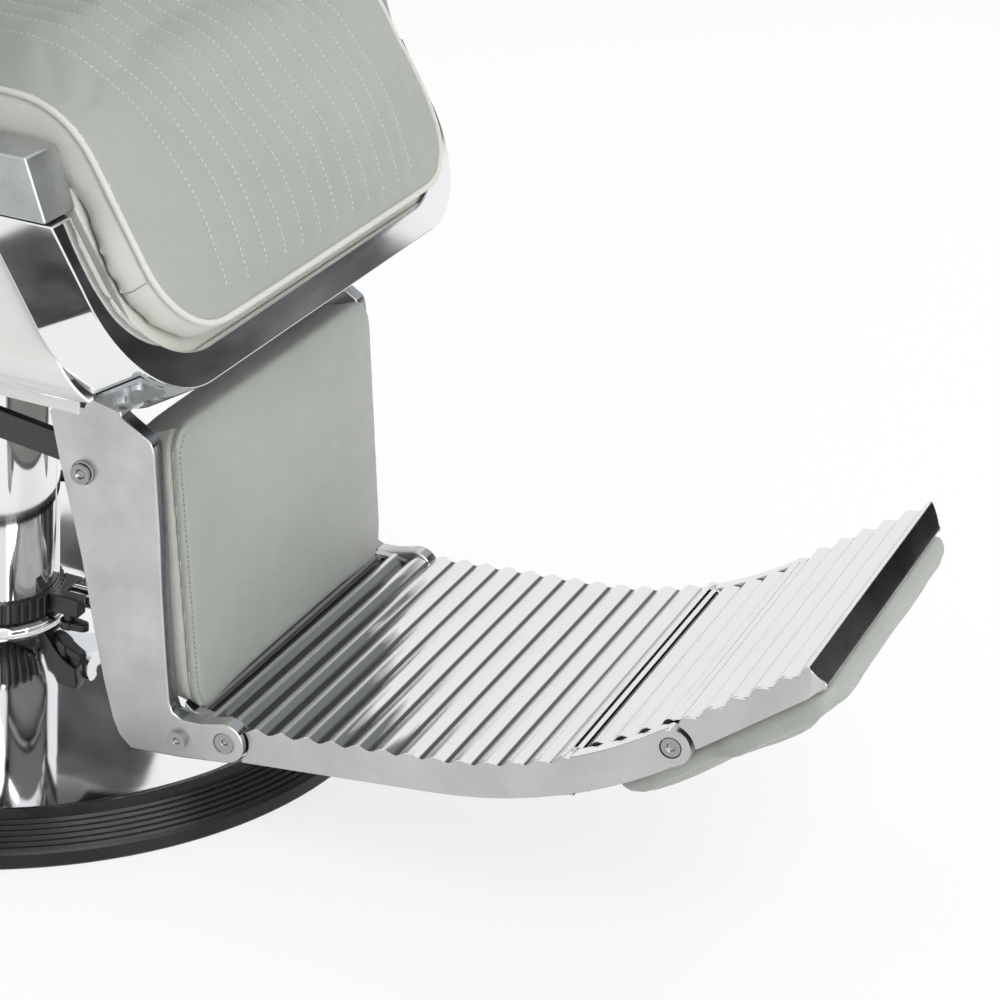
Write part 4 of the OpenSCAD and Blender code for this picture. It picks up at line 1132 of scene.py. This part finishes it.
def place_camera():
    data = bpy.data.cameras.new("view")
    data.lens = 104.3
    data.sensor_width = 36
    data.clip_end = 60
    camera = bpy.data.objects.new("view", data)
    bpy.context.scene.collection.objects.link(camera)
    back = -LOOK.normalized()
    right = TOP.cross(back).normalized()
    up = back.cross(right)
    turn = Matrix((right, up, back)).transposed()
    camera.matrix_world = Matrix.Translation(EYE) @ turn.to_4x4()
    bpy.context.scene.camera = camera


def area_light(name, at, aim, size, power, mirrored=True):
    """A soft lamp; one that is not mirrored leaves no patch in the chrome."""
    data = bpy.data.lights.new(name, "AREA")
    data.shape = "RECTANGLE"
    data.size, data.size_y = size
    data.energy = power
    lamp = bpy.data.objects.new(name, data)
    lamp.location = at
    lamp.rotation_euler = (Vector(aim) - Vector(at)).to_track_quat("-Z", "Y").to_euler()
    lamp.visible_glossy = mirrored
    bpy.context.scene.collection.objects.link(lamp)


def studio_world():
    """White round the chair, and a little softer for the light that falls on it."""
    world = bpy.data.worlds.new("studio")
    world.use_nodes = True
    bpy.context.scene.world = world
    tree = world.node_tree
    tree.nodes.clear()
    add = tree.nodes.new
    join = tree.links.new
    out = add("ShaderNodeOutputWorld")
    white = add("ShaderNodeBackground")
    room = add("ShaderNodeBackground")
    mix = add("ShaderNodeMixShader")
    path = add("ShaderNodeLightPath")
    seen = add("ShaderNodeMath")
    clear = add("ShaderNodeMath")
    for node in (seen, clear):
        node.operation = "MAXIMUM"
    join(path.outputs["Is Camera Ray"], seen.inputs[0])
    join(path.outputs["Is Glossy Ray"], seen.inputs[1])
    join(seen.outputs[0], clear.inputs[0])
    join(path.outputs["Is Transmission Ray"], clear.inputs[1])
    room.inputs["Color"].default_value = (1, 1, 1, 1)
    room.inputs["Strength"].default_value = 0.5
    white.inputs["Color"].default_value = (1, 1, 1, 1)
    join(clear.outputs[0], mix.inputs[0])
    join(room.outputs[0], mix.inputs[1])
    join(white.outputs[0], mix.inputs[2])
    join(mix.outputs[0], out.inputs[0])


def hide_flag(flag):
    """Lets a flag show in polished metal only."""
    f = Finish(flag.name, (0.012, 0.012, 0.013), 0.9)
    f.tint(f.ramp(f.noise(2.6, 5, 0.62), 0, 1, (0.42, 0.8)), (0.012, 0.012, 0.013), (0.34, 0.35, 0.36))
    flag.data.materials.append(f.mat)
    flag.visible_camera = False
    flag.visible_diffuse = False
    flag.visible_shadow = False
    flag.visible_transmission = False


def dark_flag(name, radius, low, high, start, end):
    """A curved black studio flag that only shows in polished metal; angles run from +X to +Y."""
    bpy.ops.object.select_all(action="DESELECT")
    bpy.ops.mesh.primitive_cylinder_add(
        vertices=180, radius=radius, depth=high - low, end_fill_type="NOTHING",
        location=(0, 0, (low + high) / 2),
    )
    flag = bpy.context.object
    flag.name = name
    bm = bmesh.new()
    bm.from_mesh(flag.data)
    out = []
    for face in bm.faces:
        c = face.calc_center_median()
        angle = math.degrees(math.atan2(c.y, c.x))
        if not start <= angle <= end:
            out.append(face)
    bmesh.ops.delete(bm, geom=out, context="FACES")
    bm.to_mesh(flag.data)
    bm.free()
    hide_flag(flag)


def floor_flag(name, left, right, front, rear):
    """A black card lying on the floor, outside the picture."""
    bpy.ops.object.select_all(action="DESELECT")
    bpy.ops.mesh.primitive_plane_add(size=1, location=((left + right) / 2, (front + rear) / 2, 0.003))
    flag = bpy.context.object
    flag.name = name
    flag.scale = (right - left, rear - front, 1)
    bpy.ops.object.transform_apply(location=False, rotation=False, scale=True)
    hide_flag(flag)


def lay_floor():
    bpy.ops.mesh.primitive_circle_add(vertices=96, radius=9, fill_type="NGON")
    floor = bpy.context.object
    floor.name = "shop_floor"
    f = Finish("pale_floor", (0.8, 0.8, 0.8), 0.7)
    glow = f.add("ShaderNodeEmission")
    mix = f.add("ShaderNodeMixShader")
    path = f.add("ShaderNodeLightPath")
    part = f.add("ShaderNodeMath", operation="MULTIPLY")
    part.inputs[1].default_value = 0.78
    seen = f.add("ShaderNodeMath", operation="MAXIMUM")
    f.join(path.outputs["Is Camera Ray"], seen.inputs[0])
    f.join(path.outputs["Is Glossy Ray"], seen.inputs[1])
    f.join(seen.outputs[0], part.inputs[0])
    f.join(part.outputs[0], mix.inputs[0])
    f.join(f.shader.outputs[0], mix.inputs[1])
    f.join(glow.outputs[0], mix.inputs[2])
    f.join(mix.outputs[0], f.tree.nodes["Material Output"].inputs["Surface"])
    floor.data.materials.append(f.mat)


place_camera()
studio_world()
lay_floor()
dark_flag("flag_front", 4.0, 0.4, 2.2, -62, -32)
dark_flag("flag_corner", 4.02, 1.17, 2.2, -32.5, -24)
dark_flag("flag_rear", 4.0, 1.6, 3.8, 27, 80)
floor_flag("flag_side", -1.56, -1.12, -0.1, 0.56)
area_light("key", (-1.6, -2.2, 3.2), (0, -0.2, 0.4), (2.2, 2.2), 70)
area_light("front", (-1.6, -3.4, 1.1), (0, -0.3, 0.4), (2.0, 1.6), 45)
area_light("fill", (2.6, -1.2, 2.2), (0, -0.2, 0.5), (2.0, 2.0), 35, False)
area_light("rear", (0.5, 2.6, 2.6), (0, 0, 0.6), (2.4, 1.6), 45, False)

bpy.context.scene.view_settings.view_transform = "Standard"
